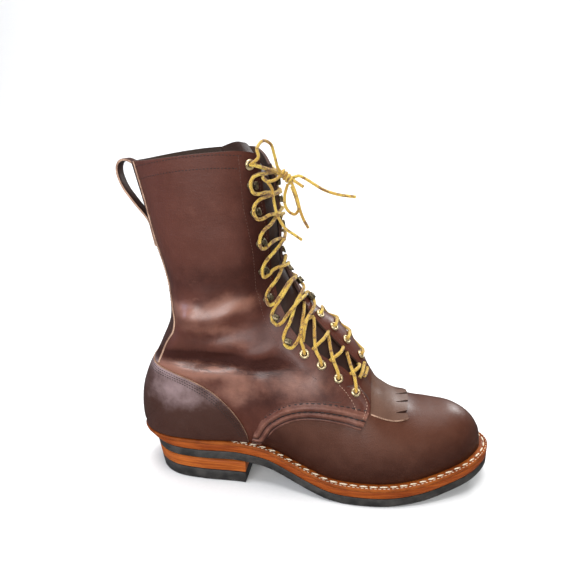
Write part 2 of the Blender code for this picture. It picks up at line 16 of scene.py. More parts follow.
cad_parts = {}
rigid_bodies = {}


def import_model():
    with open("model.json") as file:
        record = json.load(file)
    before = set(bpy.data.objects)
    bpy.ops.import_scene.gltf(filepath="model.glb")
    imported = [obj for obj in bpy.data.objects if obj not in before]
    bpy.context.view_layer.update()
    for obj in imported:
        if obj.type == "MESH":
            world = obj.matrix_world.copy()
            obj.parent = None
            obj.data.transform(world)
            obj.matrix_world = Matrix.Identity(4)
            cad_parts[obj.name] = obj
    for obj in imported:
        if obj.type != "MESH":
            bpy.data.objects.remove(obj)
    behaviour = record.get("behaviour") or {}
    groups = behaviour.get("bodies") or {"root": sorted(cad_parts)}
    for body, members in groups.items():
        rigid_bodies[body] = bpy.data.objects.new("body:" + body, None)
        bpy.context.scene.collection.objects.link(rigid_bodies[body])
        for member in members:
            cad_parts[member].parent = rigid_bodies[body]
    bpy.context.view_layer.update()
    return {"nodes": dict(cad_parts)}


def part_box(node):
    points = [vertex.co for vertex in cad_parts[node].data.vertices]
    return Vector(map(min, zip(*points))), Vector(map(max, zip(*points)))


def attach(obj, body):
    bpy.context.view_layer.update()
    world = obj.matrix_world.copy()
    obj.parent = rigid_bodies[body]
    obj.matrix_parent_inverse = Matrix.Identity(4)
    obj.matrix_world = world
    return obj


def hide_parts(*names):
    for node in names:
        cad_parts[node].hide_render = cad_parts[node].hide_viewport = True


MM = 0.001
CLEAR = 0.3            # gap between pieces that touch
OUTER, INNER = -1, 1   # sign of y on the two sides of the foot
SIDE_WORDS = ((OUTER, "outer"), (INNER, "inner"))

# Sizes shared with the part's source
HEEL_BACK = 4          # x of the back of the sole
TOE_TIP = 317
HEEL_BREAST = 107      # x of the heel's front face
CAP_HEIGHT = 10.5
LIFT_HEIGHT = 10.5
OUTSOLE = 8
MIDSOLE = 6.5
WELT = 3
CAD_SOLE_STEPS = 30    # rows of faces along the solid outsole
WALL = 2.4
OVERLAY = 1.6          # leather laid over the upper
ROUNDNESS = 2.35       # 2 is an ellipse, more is squarer
FEATHER_BULGE = 1.03   # how much wider than the welt line a section gets at least
HEEL_Y = -2            # y of the back seam
CROWN_ROWS = 4         # sections over which the collar's bow fades out below it
EYELET_RADIUS = 4.2
EYELET_HOLE = 2.1
EYELET_HEIGHT = 1.2

# Sizes of the looks alone
THIN_OVERLAY = 0.9                        # leather of the backstay and the kiltie
COLLAR_CROWN = {OUTER: 2.2, INNER: 4.2}   # how far the collar bows up between back and front
CROWN_LEAN = {OUTER: 2, INNER: 1}         # more puts the top of the bow further forward
COLLAR_DIP = {OUTER: 3.5, INNER: 12}      # how far the collar drops at the throat edge
DIP_FROM, DIP_FULL = 0.80, 0.97           # shares of the way to the throat edge between which it drops
LACE = 2.9                                # diameter of the crossings
FREE_LACE = 2.5                           # diameter of the bow's loops and ends
HOOK_FROM_EDGE = 12.2                     # distance of the hooks back from the throat edge

# Fineness of the looks
SOLE_STEPS = 150              # rows of faces along each sole layer
UPPER_ROWS_PER_SECTION = 10   # rows of faces between two sections of the upper
HALF_COLUMNS = 58             # columns of faces from welt to throat on each side
LACE_SIDES = 14

# Photograph's camera, in the boot's own millimetres and radians
CAMERA_PLACE = (202.3, -426.7, 303.6)
CAMERA_YAW, CAMERA_PITCH, CAMERA_ROLL = 0.146, 0.306, 0.0042
FOCAL_PIXELS, PHOTO_PIXELS, SENSOR = 532.7, 580, 36

# Tables of the sole, as in the part's source
OUTLINE = (
    # x, outer y, inner y of the sole's edge
    (HEEL_BACK, HEEL_Y, HEEL_Y),
    (8, -18, 13),
    (16, -28, 23),
    (33, -37, 32),
    (60, -40, 34.5),
    (105, -40, 32),
    (130, -42, 30.5),
    (155, -47.5, 35),
    (180, -53, 44),
    (205, -55.5, 51.5),
    (230, -53.5, 55),
    (255, -46.5, 54.5),
    (280, -34.5, 49),
    (298, -23.5, 40),
    (310, -10.5, 29),
    (TOE_TIP, 9.5, 9.5),
)

SOLE_BOTTOM = (
    # x, z of the outsole's underside
    (0, 21),
    (60, 21),
    (107, 21),
    (125, 18.5),
    (145, 12),
    (165, 5),
    (183, 0.6),
    (192, 0),
    (226, 0),
    (245, 1.2),
    (270, 4.6),
    (295, 10),
    (TOE_TIP, 15.5),
)

HEEL_BACK_LINE = (
    # z, x of the heel's back edge
    (0, 20.5),
    (10.5, 18.5),
    (21, 16.5),
    (29, 14),
    (33, 8.5),
    (35.5, 5.5),
    (38.5, HEEL_BACK),
)

FEATHER_INSET = (
    # x, how far the upper stands in from the sole's edge
    (0, 2.6),
    (45, 2.8),
    (110, 5),
    (170, 6),
    (230, 6.5),
    (TOE_TIP, 7),
)

# Tables of the upper, refined from the part's
FOOT_SECTIONS = (
    # base x on the welt, top x, top z, half width outer, half width inner, ridge y, throat y, half throat
    (310, 308.5, 42, 0, 0, 9, 9, 0),
    (308.4, 306.5, 47.5, 5, 5, 9, 9, 0),
    (303.5, 301.5, 54.5, 14, 14, 10, 10, 0),
    (295, 293, 60.5, 23, 23, 10, 10, 0),
    (282, 281, 64.5, 32, 32, 10, 10, 0),
    (264, 264, 66, 41, 41, 8.5, 10, 0),
    (244, 247, 68.3, 46.5, 46.5, 5, 8, 0),
    (224, 230, 75.5, 49, 49, 0.5, 4, 0),
    (206, 217, 85.5, 48.3, 48.3, -2, -2, 0),
    (192, 208, 96.3, 46.5, 46, -1.5, -8, 0),
    (178, 200, 110, 44, 43.5, 3, -14.5, 5.5),
    (162, 190, 124, 42.5, 43, 6, -16, 5.5),
    (143, 177, 138, 41, 42, 6, -17, 6.5),
    (120, 164, 149, 39, 40, 5, -16, 7.5),
    (95, 154, 160, 38.5, 38.5, 5, -13, 9),
    (68, 147, 169.5, 38.3, 38.5, 4, -9.2, 10.3),
    (44, 142, 177, 37.5, 38, 4, -5.7, 11.3),
    (23, 138.5, 183, 36.9, 37.5, 4, -3.5, 12),
    (11, 136, 187, 36.6, 37, 4, -2, 12.5),
    (6.6, 134.5, 190, 36.5, 36.8, 4, -1.5, 12.5),
)

SHAFT_SECTIONS = (
    # back x, back z, front x, front z, half width outer, half width inner, ridge y, throat y, half throat
    (5.2, 52, 133, 195, 36.3, 36.7, 4, -1, 13),
    (7.5, 73, 132, 202, 36.5, 37, 4, -0.5, 13),
    (15.5, 95, 131.5, 209, 37, 37.5, 4, -0.5, 13.5),
    (27.5, 118, 131.2, 216, 37.5, 38, 4, -1, 14),
    (37.5, 140, 130.6, 223, 38, 38.5, 4, -1.5, 14.5),
    (37.8, 161, 130, 231, 39, 39.5, 4, -2, 15),
    (34.5, 184, 129, 240, 40, 40.5, 4, -2, 15.5),
    (28.5, 209, 127.8, 250, 41, 41.5, 4, -2.5, 15.5),
    (21, 241, 126, 266, 42.5, 43, 3, -2.8, 15.8),
    (13.5, 273, 123, 283, 44, 44, 2, -2.8, 15.8),
)

EYELETS = {
    # row and distance back from the throat edge, from the lowest eyelet up
    OUTER: ((9.72, 16), (11.0, 10.3), (11.96, 7.5), (12.87, 7.5), (28.5, 11)),
    INNER: ((10.1, 8), (11.2, 8), (12.0, 8), (12.9, 8), (28.5, 8)),
}
HOOK_ROWS = (13.9, 15.35, 17.15, 21.0, 24.05, 26.4, 27.7)

CREASES = (
    # x and z of start, middle and end; height out of the leather; width
    ((40, 161), (74, 148), (118, 170), 5.6, 9.5),
    ((48, 139), (78, 135.5), (110, 150), -1.4, 8),
    ((60, 126), (92, 128), (128, 138), 1.6, 8),
    ((28, 113), (66, 114), (116, 117.5), -4.6, 6.4),
    ((34, 103), (70, 103.5), (102, 100), 1.2, 7),
    ((145, 125), (127, 114), (108, 106), -1.4, 6),
    ((100, 122), (116, 120), (136, 129), 1.2, 5),
    ((136, 133), (150, 118), (166, 106), 1.2, 7),
    ((98, 96), (104, 86), (107, 76), -1.0, 5.5),
    ((116, 106), (124, 95), (122, 84), 1.0, 5.5),
    ((56, 190), (85, 184), (110, 196), -1.0, 9),
    ((40, 212), (70, 216), (104, 208), 0.7, 10),
    ((18, 72), (60, 68), (104, 60), 2.0, 17),
)
CREASE_MIDDLE, CREASE_REACH = 4, 30       # y where creases start, and how far out they are full
INNER_CREASES = 0.75                      # height of the inner side's creases against the outer side's
CREASE_ENDS = 0.36                        # share of a crease over which each end fades
FLAP_LIFT, FLAP_LIFT_REACH = 3.2, 15      # how far the inner flap's edge lifts, and how far round it
FLAP_EDGE = ((208, 4, 97), (200, 5, 110), (190, 5, 124), (177, 5, 138))
SLACK = 0.5                               # height of the slow waves of the shaft

WEAR_AND_HIGHLIGHT = (
    # x, z of a place of rubbed wear and painted highlight and sheen; its half length, half height and
    # strength
    (58, 104.5, 40, 5.5, 1.6),
    (64, 157, 24, 7, 1.2),
    (98, 164, 20, 8, 1.0),
    (104, 90, 16, 16, 0.85),
    (152, 98, 30, 16, 0.9),
    (100, 130, 28, 5, 0.5),
    (80, 142, 28, 7, 0.7),
    (92, 226, 22, 26, 0.1),
    (50, 86, 32, 17, 0.95),
)
SHADED = (
    # x, z of a place darkened with painted shade in the creases, and a darker stain along the shaft's front;
    # its half length, half height and strength
    (72, 115.5, 48, 5, 1.8),
    (120, 215, 12, 70, 1.5),
    (130, 114, 20, 6, 0.8),
    (80, 184, 44, 12, 0.6),
    (112, 111.5, 14, 2.6, 1.0),
    (178, 100, 12, 14, 0.5),
    (128, 84, 10, 8, 0.5),
)
WRINKLED = (
    # x, z of a place with fine wrinkles; its half length, half height and strength
    (74, 108.5, 44, 6, 1.0),
    (122, 109, 18, 7, 1.0),
    (96, 127, 26, 7, 0.5),
    (150, 112, 20, 12, 0.4),
)

# Edges and seams of the leather, as x and z seen from the side
COUNTER_FOOT = 39.2
COUNTER_EDGE = (
    (16, 107.5), (31, 104), (46.6, 100.3), (62.6, 95.2), (77.7, 88), (89.8, 79), (99, 68), (105.2, 57.3),
    (108.5, 48),
)
BAND_LOW = (
    (112, 38.6), (119.5, 38.2), (134.5, 58.4), (146.6, 67.6), (157.4, 71.2), (171.4, 71.8), (187.6, 69.2),
    (204, 65.4),
)
BAND_FRONT = (
    (204, 65.4), (206.6, 68.4), (208.9, 73.5), (210.9, 77.5), (211.3, 82.1), (209.3, 86), (204.9, 91),
    (199.4, 96.5),
)
BAND_BACK = ((192, 97), (193, 91), (188, 86))
BAND_HIGH = ((175.5, 87), (158, 86.5), (139, 81), (126, 70.5), (116, 54))
BAND_GROOVES = (2.3, 7.3)                 # distances from the band's lower edge
BAND_ROLLS = ((1.1, 1.3), (4.8, 2.5), (10.2, 3.2))   # distance and half width of each roll between them
BAND_TOP_ROW = 13.4
BAND_BLEND, TAB_BLEND = (10, 13.8), (1, 4.5)   # distances from the low and front edges where it blends in
TAB_SEAM = ((201.5, 94.8), (204.5, 91), (207.3, 86.3), (208.9, 82.3), (208, 78.2), (206.2, 74.5))
QUARTER_SEAM = ((186, 98), (189.8, 94.1), (194.3, 88.6), (197.6, 84), (199.9, 79.8))
COLLAR_SEAMS = (
    ((20, 269.5), (47.8, 275.4), (64.4, 278.2), (80, 279.8), (95, 280.4), (107, 279.4)),
    ((18, 257.5), (29.5, 261.7), (46.5, 265.9), (60.2, 268.3), (78.5, 270.2), (95.4, 270.9), (104, 270.3)),
)

BACKSTAY = (
    # z, half width
    (106, 28), (114, 28), (128, 29.5), (137, 31), (145, 28.5), (153, 22.5), (163, 18.5), (198, 19), (234, 23),
    (276, 26),
)
COUNTER_ROWS = (2.2, 4.2, 6.4)            # distances of the stitch rows in from the counter's edge
THROAT_ROWS = ((10.6, 3.0), (12, 19.5))   # first row and distance back from the throat edge of each seam
BACKSTAY_ROW = 2.5                        # distance of the stitch row in from the backstay's edge
BELOW_KILTIE, ABOVE_KILTIE = 50, 140      # heights between which the kiltie is cut
KILTIE_WIDTHS = (
    # x, half width
    (212.5, 45.3), (220, 43.5), (232, 38.9), (238.4, 35), (243.5, 31),
)

STITCHES = {
    # thread, pitch, length, width and height of a stitch, and the seam's material slot
    "counter_stitches": ("dark_thread", 2.4, 1.9, 0.75, 0.5, "vamp_leather"),
    "band_stitches": ("dark_thread", 4.6, 3.6, 1.0, 0.6, "shaft_leather"),
    "tab_stitches": ("pale_thread", 2.6, 1.9, 0.6, 0.45, "shaft_leather"),
    "throat_stitches": ("tan_thread", 2.6, 1.9, 0.5, 0.4, "shaft_leather"),
    "collar_stitches": ("dark_thread", 2.6, 1.9, 0.65, 0.45, "shaft_leather"),
    "backstay_stitches": ("dark_thread", 2.6, 1.9, 0.65, 0.45, "vamp_leather"),
}
WELT_STITCHES = (
    # name, distance in from the sole's edge, pitch, length and width of a stitch
    ("welt_stitches", 3.4, 8.2, 7.2, 1.5),
    ("welt_fine_stitches", 1.2, 3.6, 2.6, 0.5),
)

CORDS = {
    # route of each free cord of the bow: x, y, z
    "lace_top_loop": (
        (116.7, -26.2, 274.5), (119.8, -29, 279), (118.6, -28.6, 284), (119.3, -26, 287), (122.3, -20, 290),
        (126.4, -15, 287.5), (129, -13, 279), (132.3, -12, 268.2)),
    "lace_knot": ((133, -10, 266.7), (137.7, -10, 262.8), (142.5, -10, 259)),
    "lace_short_end": ((144.2, -11.5, 259.9), (148, -12.3, 257.7), (151.7, -13, 255.5)),
    "lace_long_end": (
        (144, -7.5, 262.6), (147, -7, 263.4), (151.3, -7, 261.8), (158.4, -7, 257.7), (167.2, -8, 253),
        (176.7, -9, 250.2), (192.2, -10, 248.4)),
    "lace_hanging_loop": (
        (139, -10.8, 257.4), (136.9, -13, 247.5), (137.8, -14, 240.6), (141.5, -15, 235.8),
        (145.5, -15, 234.5), (148, -14, 237.8), (146.7, -13, 243.8), (142, -11, 255.6)),
    "lace_hanging_end": ((148.2, -15.2, 235.4), (152.7, -16, 230.2), (156.4, -16, 224)),
    "lace_cross_loop": (
        (121.5, -23.7, 263.4), (123.5, -22.3, 260.6), (127.2, -19.5, 260.2), (131, -15.5, 261.5),
        (133.5, -13.6, 263.5)),
    "lace_strand": (
        (127.8, -19.2, 254.8), (129.2, -19, 246.4), (131, -18.5, 237), (134.4, -17.5, 229), (138.7, -17, 223),
        (144.9, -16, 218.6), (151.2, -15, 214.2)),
}
# Way of the hanging end from the knot to where its own cord starts
HANGING_END_START = ((140.5, -10.5, 261), (143.2, -12.5, 256.5), (147.4, -15, 246), (149.6, -16, 238))


# Curves and vectors

def curve(table_x, table_y, x):
    """Smooth curve through the rows of a table."""
    table_x = np.asarray(table_x, float)
    table_y = np.asarray(table_y, float)
    slope = np.gradient(table_y, table_x)
    row = np.clip(np.searchsorted(table_x, x) - 1, 0, len(table_x) - 2)
    span = table_x[row + 1] - table_x[row]
    t = (x - table_x[row]) / span
    ends = (1 + 2 * t) * (1 - t) ** 2 * table_y[row] + t * t * (3 - 2 * t) * table_y[row + 1]
    return ends + span * (t * (1 - t) ** 2 * slope[row] - t * t * (1 - t) * slope[row + 1])


def column(table, number):
    """One column of a table."""
    return np.array([row[number] for row in table], float)


def unit(vector):
    """Vector of length 1 in the same direction."""
    return np.asarray(vector, float) / np.linalg.norm(vector)


def runs(points):
    """Distance run along a line up to each of its points."""
    return np.concatenate([[0], np.cumsum(np.linalg.norm(np.diff(points, axis=0), axis=1))])


def smooth(points, step):
    """Points about a step apart on a smooth line through the given ones."""
    points = np.asarray(points, float)
    run = runs(points)
    places = np.linspace(0, run[-1], max(3, round(run[-1] / step) + 1))
    return np.stack([curve(run, points[:, i], places) for i in range(points.shape[1])], 1)


def tangents(path):
    """Direction of a line at each of its points."""
    path = np.asarray(path, float)
    ahead = np.concatenate([path[1:], path[-1:]])
    behind = np.concatenate([path[:1], path[:-1]])
    along = ahead - behind
    return along / np.linalg.norm(along, axis=1, keepdims=True)


def distance_to(points, line):
    """Distance of many points from a line of points, and the share along it of the nearest place."""
    line = np.asarray(line, float)
    nearest = np.full(len(points), np.inf)
    share = np.zeros(len(points))
    for i, (start, end) in enumerate(zip(line, line[1:])):
        step = end - start
        along = np.clip((points - start) @ step / (step @ step), 0, 1)
        away = np.linalg.norm(points - start - along[:, None] * step, axis=1)
        closer = away < nearest
        nearest[closer] = away[closer]
        share[closer] = (i + along[closer]) / (len(line) - 1)
    return nearest, share


def faded(distance, full, none):
    """1 up to a distance, falling smoothly to 0 at another."""
    share = np.clip((none - distance) / (none - full), 0, 1)
    return share * share * (3 - 2 * share)


# Sole shape

def along_sole(x):
    """Share of the way from heel to toe, stretched at both ends so that round ends stay round."""
    share = (np.asarray(x, float) - HEEL_BACK) / (TOE_TIP - HEEL_BACK)
    return np.arccos(1 - 2 * np.clip(share, 0, 1)) / math.pi


def sole_edges(inset, steps):
    """Outer and inner edge of the sole, each from heel to toe, moved in by inset (a number or a table)."""
    share = np.linspace(0, 1, steps + 1)
    x = HEEL_BACK + (TOE_TIP - HEEL_BACK) * (1 - np.cos(math.pi * share)) / 2
    table_share = along_sole(column(OUTLINE, 0))
    outer = np.stack([x, curve(table_share, column(OUTLINE, 1), share)], 1)
    inner = np.stack([x, curve(table_share, column(OUTLINE, 2), share)], 1)
    loop = np.concatenate([outer, inner[-2:0:-1]])
    tangent = np.roll(loop, -1, 0) - np.roll(loop, 1, 0)
    inward = np.stack([-tangent[:, 1], tangent[:, 0]], 1)
    inward /= np.linalg.norm(inward, axis=1, keepdims=True)
    depth = curve(column(inset, 0), column(inset, 1), loop[:, 0]) if isinstance(inset, tuple) else inset
    loop = loop + inward * np.reshape(depth, (-1, 1))
    return loop[:steps + 1], np.concatenate([loop[:1], loop[:steps - 1:-1]])


def sole_bottom(x):
    """Height of the outsole's underside."""
    return np.maximum(curve(column(SOLE_BOTTOM, 0), column(SOLE_BOTTOM, 1), x), 0)


def welt_top(x):
    """Height of the welt's upper face."""
    return sole_bottom(x) + OUTSOLE + MIDSOLE + WELT


def undercut(x, z):
    """Draw points of the heel forward by as much as the heel's back leans in at their height."""
    back = curve(column(HEEL_BACK_LINE, 0), column(HEEL_BACK_LINE, 1), z)
    drawn = HEEL_BREAST - (HEEL_BREAST - x) * (HEEL_BREAST - back) / (HEEL_BREAST - HEEL_BACK)
    return np.where(x > HEEL_BREAST, x, drawn)


def sole_loop(inset, height, steps=SOLE_STEPS):
    """Closed line round the sole at a height above the outsole's underside."""
    outer, inner = sole_edges(inset, steps)
    loop = np.concatenate([outer, inner[-2:0:-1]])
    z = sole_bottom(loop[:, 0]) + height
    return np.stack([undercut(loop[:, 0], z), loop[:, 1], z], 1)


# Upper's shape

def by_side(sides, values):
    """Value of the outer or the inner side, for each sign in sides."""
    return np.where(sides == OUTER, values[OUTER], values[INNER])


def fill_grid(bm, grid, turned=False):
    """Faces between the lines of a grid of vertices."""
    for line, after in zip(grid, grid[1:]):
        for i in range(len(line) - 1):
            corners = (line[i], line[i + 1], after[i + 1], after[i])
            bm.faces.new(corners[::-1] if turned else corners)


class Upper:
    """The boot's outer surface, by row along the sections and by angle round each section."""

    def __init__(self):
        foot = [(row[0], float(welt_top(row[0])), *row[1:]) for row in FOOT_SECTIONS]
        self.sections = foot + list(SHAFT_SECTIONS)
        self.foot_rows = len(FOOT_SECTIONS)
        self.last = len(self.sections) - 1
        self.outer_edge, self.inner_edge = sole_edges(FEATHER_INSET, steps=240)

    def section(self, row):
        """Sizes of the section at a row, which may lie between two rows of the tables."""
        number = np.arange(len(self.sections))
        values = [float(curve(number, column(self.sections, i), row)) for i in range(9)]
        base_x, base_z, top_x, top_z, outer, inner, ridge, throat, half_throat = values
        half_throat = max(half_throat, 0)
        feather = {OUTER: HEEL_Y, INNER: HEEL_Y}
        if row < self.foot_rows - 1:
            base_z = float(welt_top(base_x))
            for side, edge in ((OUTER, self.outer_edge), (INNER, self.inner_edge)):
                feather[side] = float(np.interp(base_x, edge[:, 0], edge[:, 1]))
        elif row < self.foot_rows:
            base_z = self.heel_rise(row - self.foot_rows + 1)
        off_line = float(faded(row, self.foot_rows - 5, self.foot_rows - 1))
        centre = HEEL_Y + ((feather[OUTER] + feather[INNER]) / 2 - HEEL_Y) * off_line
        spread = (feather[INNER] - feather[OUTER]) / 2
        wide = {OUTER: max(outer, FEATHER_BULGE * spread), INNER: max(inner, FEATHER_BULGE * spread)}
        near_collar = max(0, 1 - (self.last - row) / CROWN_ROWS) ** 2
        return {
            "base": (base_x, base_z),
            "top": (top_x, top_z),
            "centre": centre,
            "ridge": ridge,
            "spread": spread,
            "wide": wide,
            "edge": {OUTER: throat - half_throat, INNER: throat + half_throat},
            "crown": {side: rise * near_collar for side, rise in COLLAR_CROWN.items()},
            "dip": {side: drop * near_collar for side, drop in COLLAR_DIP.items()},
        }

    def heel_rise(self, share):
        """Height of a section's back between the welt, where it starts level, and the shaft's first row."""
        low, first, second = (self.sections[self.foot_rows - 1 + i][1] for i in range(3))
        ends = low * (1 + 2 * share) * (1 - share) ** 2 + first * share * share * (3 - 2 * share)
        return ends - (second - low) / 2 * share * share * (1 - share)

    def angle_at(self, section, side, from_ridge):
        """Angle from the ridge to a throat edge; positive on the edge's own side."""
        away = side * from_ridge
        wide = section["wide"][side if away >= 0 else -side]
        if wide == 0:
            return 0.0
        return math.copysign(math.asin(min(abs(away) / wide, 1) ** (ROUNDNESS / 2)), away)

    def base_angle(self, section, side):
        """Angle from the ridge round to the section's base, at the welt or at the back."""
        wide = section["wide"][side]
        if wide == 0:
            return math.pi / 2
        return math.pi - math.asin((section["spread"] / wide) ** (ROUNDNESS / 2))

    def throat_angle(self, section, side):
        return self.angle_at(section, side, section["edge"][side] - section["ridge"])

    def at(self, section, side, angles):
        """Points of a section at angles from its ridge, counted positive towards the given side."""
        angles = np.atleast_1d(np.asarray(angles, float))
        sides = np.where(angles < 0, -side, side)
        angles = np.abs(angles)
        start = by_side(sides, {half: -math.cos(self.base_angle(section, half)) for half in (OUTER, INNER)})
        wide = by_side(sides, section["wide"])
        share = (start + np.cos(angles)) / (1 + start)
        out = np.abs(np.sin(angles)) ** (2 / ROUNDNESS) * wide
        (base_x, base_z), (top_x, top_z) = section["base"], section["top"]
        middle = section["centre"] + (section["ridge"] - section["centre"]) * share * share
        lean = by_side(sides, CROWN_LEAN)
        crown = by_side(sides, section["crown"]) * (lean + 1.0) ** (lean + 1) / lean ** lean
        bow = crown * np.clip(share, 0, 1) ** lean * (1 - share)
        dip = by_side(sides, section["dip"])
        bow = bow - dip * np.clip((share - DIP_FROM) / (DIP_FULL - DIP_FROM), 0, 1) ** 2
        return np.stack([
            base_x + (top_x - base_x) * share,
            middle + sides * out,
            base_z + CLEAR + (top_z - base_z - CLEAR) * share + bow,
        ], 1)

    def points(self, row, side, shares):
        """Points at shares of the way from the welt (0) to the throat edge (1) on one side."""
        section = self.section(row)
        base = self.base_angle(section, side)
        return self.at(section, side, base + (self.throat_angle(section, side) - base) * np.asarray(shares))

    def back_from_edge(self, row, side, distance):
        """Share at which a section has run a distance back from its throat edge."""
        shares = np.linspace(1.0, 0.4, 25)
        return float(np.interp(distance, runs(self.points(row, side, shares)), shares))

    def frame(self, row, side, from_edge):
        """Point back from the throat edge; directions to the throat, up the boot and out of the leather."""
        share = self.back_from_edge(row, side, from_edge)
        here, ahead = self.points(row, side, (share, share + 0.02))
        throat = unit(ahead - here)
        up = self.points(row + 0.1, side, share)[0] - here
        out = unit(np.cross(throat, up)) * -side
        return here, throat, unit(np.cross(out, throat)) * -side, out

    def spot(self, row, side, from_edge, up=0.0, height=0.0):
        """Point above the leather, a distance back from the throat edge and up the boot from a row."""
        pace = np.linalg.norm(self.points(row + 0.5, side, 1.0)[0] - self.points(row - 0.5, side, 1.0)[0])
        here, _, _, out = self.frame(row + up / pace, side, from_edge)
        return here + out * height

    def above(self, row, position, height):
        """Point held a height above a section's front, from the outer throat edge (0) to the inner (1)."""
        def across(at_row, spot):
            section = self.section(at_row)
            ends = [side * self.throat_angle(section, side) for side in (OUTER, INNER)]
            return self.at(section, INNER, ends[0] + (ends[1] - ends[0]) * spot)[0]
        along = across(row + 0.05, position) - across(row - 0.05, position)
        over = across(row, position + 0.02) - across(row, position - 0.02)
        return across(row, position) + unit(np.cross(over, along)) * height

    def surface(self, first=0.0, last=None, halves=(OUTER, INNER), low=0.0):
        """Open grid of faces over the surface between two rows, with its creases."""
        last = self.last if last is None else last
        rows = np.linspace(first, last, round((last - first) * UPPER_ROWS_PER_SECTION) + 1)
        shares = np.linspace(low, 1, round((1 - low) * HALF_COLUMNS) + 1)
        bm = bmesh.new()
        for side in halves:
            grid = [[bm.verts.new(point) for point in self.points(row, side, shares)] for row in rows]
            fill_grid(bm, grid, turned=side == INNER)
        bmesh.ops.remove_doubles(bm, verts=bm.verts, dist=0.01)
        bmesh.ops.dissolve_degenerate(bm, edges=bm.edges, dist=0.005)
        bm.normal_update()
        places = np.array([vert.co for vert in bm.verts])
        normals = np.array([vert.normal for vert in bm.verts])
        for vert, place in zip(bm.verts, places + normals * relief(places)[:, None]):
            vert.co = place
        bm.normal_update()
        return bm


def relief(points):
    """How far the creases and slack stand out of the leather at each point."""
    flap_y, flap_fade = -12, 6
    low, low_fade, high, high_fade = 60, 60, 272, 40
    flat = points[:, (0, 2)]
    side_share = np.clip((points[:, 1] - CREASE_MIDDLE) / -CREASE_REACH, -1, 1)
    out = np.zeros(len(points))
    for start, middle, end, height, width in CREASES:
        away, share = distance_to(flat, smooth((start, middle, end), 9))
        ends = 1 - faded(np.minimum(share, 1 - share), 0, CREASE_ENDS)
        out += height * ends * np.exp(-(away / width) ** 2)
    out *= np.where(side_share > 0, side_share, -INNER_CREASES * side_share)
    flap, _ = distance_to(points, FLAP_EDGE)
    inner_share = np.clip((points[:, 1] - flap_y) / flap_fade, 0, 1)
    out += FLAP_LIFT * np.exp(-(flap / FLAP_LIFT_REACH) ** 2) * inner_share
    waves = np.sin(flat[:, 0] * 0.09 + 1.3) * np.sin(flat[:, 1] * 0.075 + flat[:, 0] * 0.02)
    z = flat[:, 1]
    height_share = np.clip((z - low) / low_fade, 0, 1) * np.clip((high - z) / high_fade, 0, 1)
    return out + SLACK * waves * height_share


def relief_at(place):
    """Relief at one point."""
    return float(relief(place[None])[0])


# Meshes

def place_in_frame():
    """Shift from the boot's own millimetres to the frame, read from where the outsole is."""
    low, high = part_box("outsole")
    outer, _ = sole_edges(0, CAD_SOLE_STEPS)
    return Vector((high.x - TOE_TIP * MM, low.y - float(outer[:, 1].min()) * MM, 0))


def to_frame(points):
    """Places in the frame's metres of points in the boot's own millimetres."""
    return points * MM + np.array(SHIFT)


def linked(name, data):
    """New object in the scene."""
    made = bpy.data.objects.new(name, data)
    bpy.context.scene.collection.objects.link(made)
    return made


def baked(piece):
    """Put a piece's modifiers into its mesh."""
    piece.data = bpy.data.meshes.new_from_object(piece.evaluated_get(bpy.context.evaluated_depsgraph_get()))
    piece.modifiers.clear()
    return piece


def finished(name, bm, *materials, sharp=40):
    """Turn a bmesh in millimetres into a piece in metres that rides on the boot."""
    mesh = bpy.data.meshes.new(name)
    bm.to_mesh(mesh)
    bm.free()
    mesh.transform(Matrix.Translation(SHIFT) @ Matrix.Scale(MM, 4))
    piece = linked(name, mesh)
    for skin in materials:
        mesh.materials.append(skin)
    mesh.shade_smooth()
    mesh.set_sharp_from_angle(angle=math.radians(sharp))
    return piece


def local_points(mesh):
    """Vertex places of a finished mesh, back in the boot's own millimetres."""
    places = np.empty(len(mesh.vertices) * 3, np.float32)
    mesh.vertices.foreach_get("co", places)
    return (places.reshape(-1, 3) - np.array(SHIFT)) / MM


def paint(piece, name, values):
    """Store one number per vertex for the material to read."""
    layer = piece.data.attributes.new(name, "FLOAT", "POINT")
    layer.data.foreach_set("value", np.asarray(values, np.float32))


def tone(places, table):
    """Sum of soft patches of a table at each place, on both sides of the boot and fading at its middle."""
    middle_y, fade = 3, 22
    total = np.zeros(len(places))
    for x, z, half_length, half_height, strength in table:
        away = ((places[:, 0] - x) / half_length) ** 2 + ((places[:, 2] - z) / half_height) ** 2
        total += strength * np.exp(-away)
    return total * np.clip(np.abs(places[:, 1] - middle_y) / fade, 0, 1)


def paint_leather(piece):
    """Folds for painted shade and highlight, rubbed places with painted highlights, painted shade, wrinkles
    and height over the welt, for the leather finishes.
    """
    full_fold, full_rise = 2.5, 60
    places = local_points(piece.data)
    paint(piece, "fold", relief(places) / full_fold)
    paint(piece, "wear_and_highlight", tone(places, WEAR_AND_HIGHLIGHT))
    paint(piece, "shaded", tone(places, SHADED))
    paint(piece, "wrinkled", tone(places, WRINKLED))
    paint(piece, "rise", (places[:, 2] - welt_top(places[:, 0])) / full_rise)


def stands_for(piece, slot, *nodes):
    """Ride a piece on the boot and hide the nodes that it replaces; slot is not used."""
    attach(piece, "root")
    if nodes:
        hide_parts(*nodes)
    return piece


def shell(sheet, outside, inside):
    """Closed solid between two offsets of an open sheet: skin, rim and back have materials 0, 1 and 2."""
    faces = list(sheet.faces)
    rim = [edge for edge in sheet.edges if edge.is_boundary]
    twin = {vert: sheet.verts.new(vert.co + vert.normal * inside) for vert in list(sheet.verts)}
    for edge in rim:
        loop = edge.link_loops[0]
        start, end = loop.vert, loop.link_loop_next.vert
        sheet.faces.new((end, start, twin[start], twin[end])).material_index = 1
    for face in faces:
        sheet.faces.new([twin[vert] for vert in reversed(face.verts)]).material_index = 2
    for vert in twin:
        vert.co = vert.co + vert.normal * outside
    return sheet


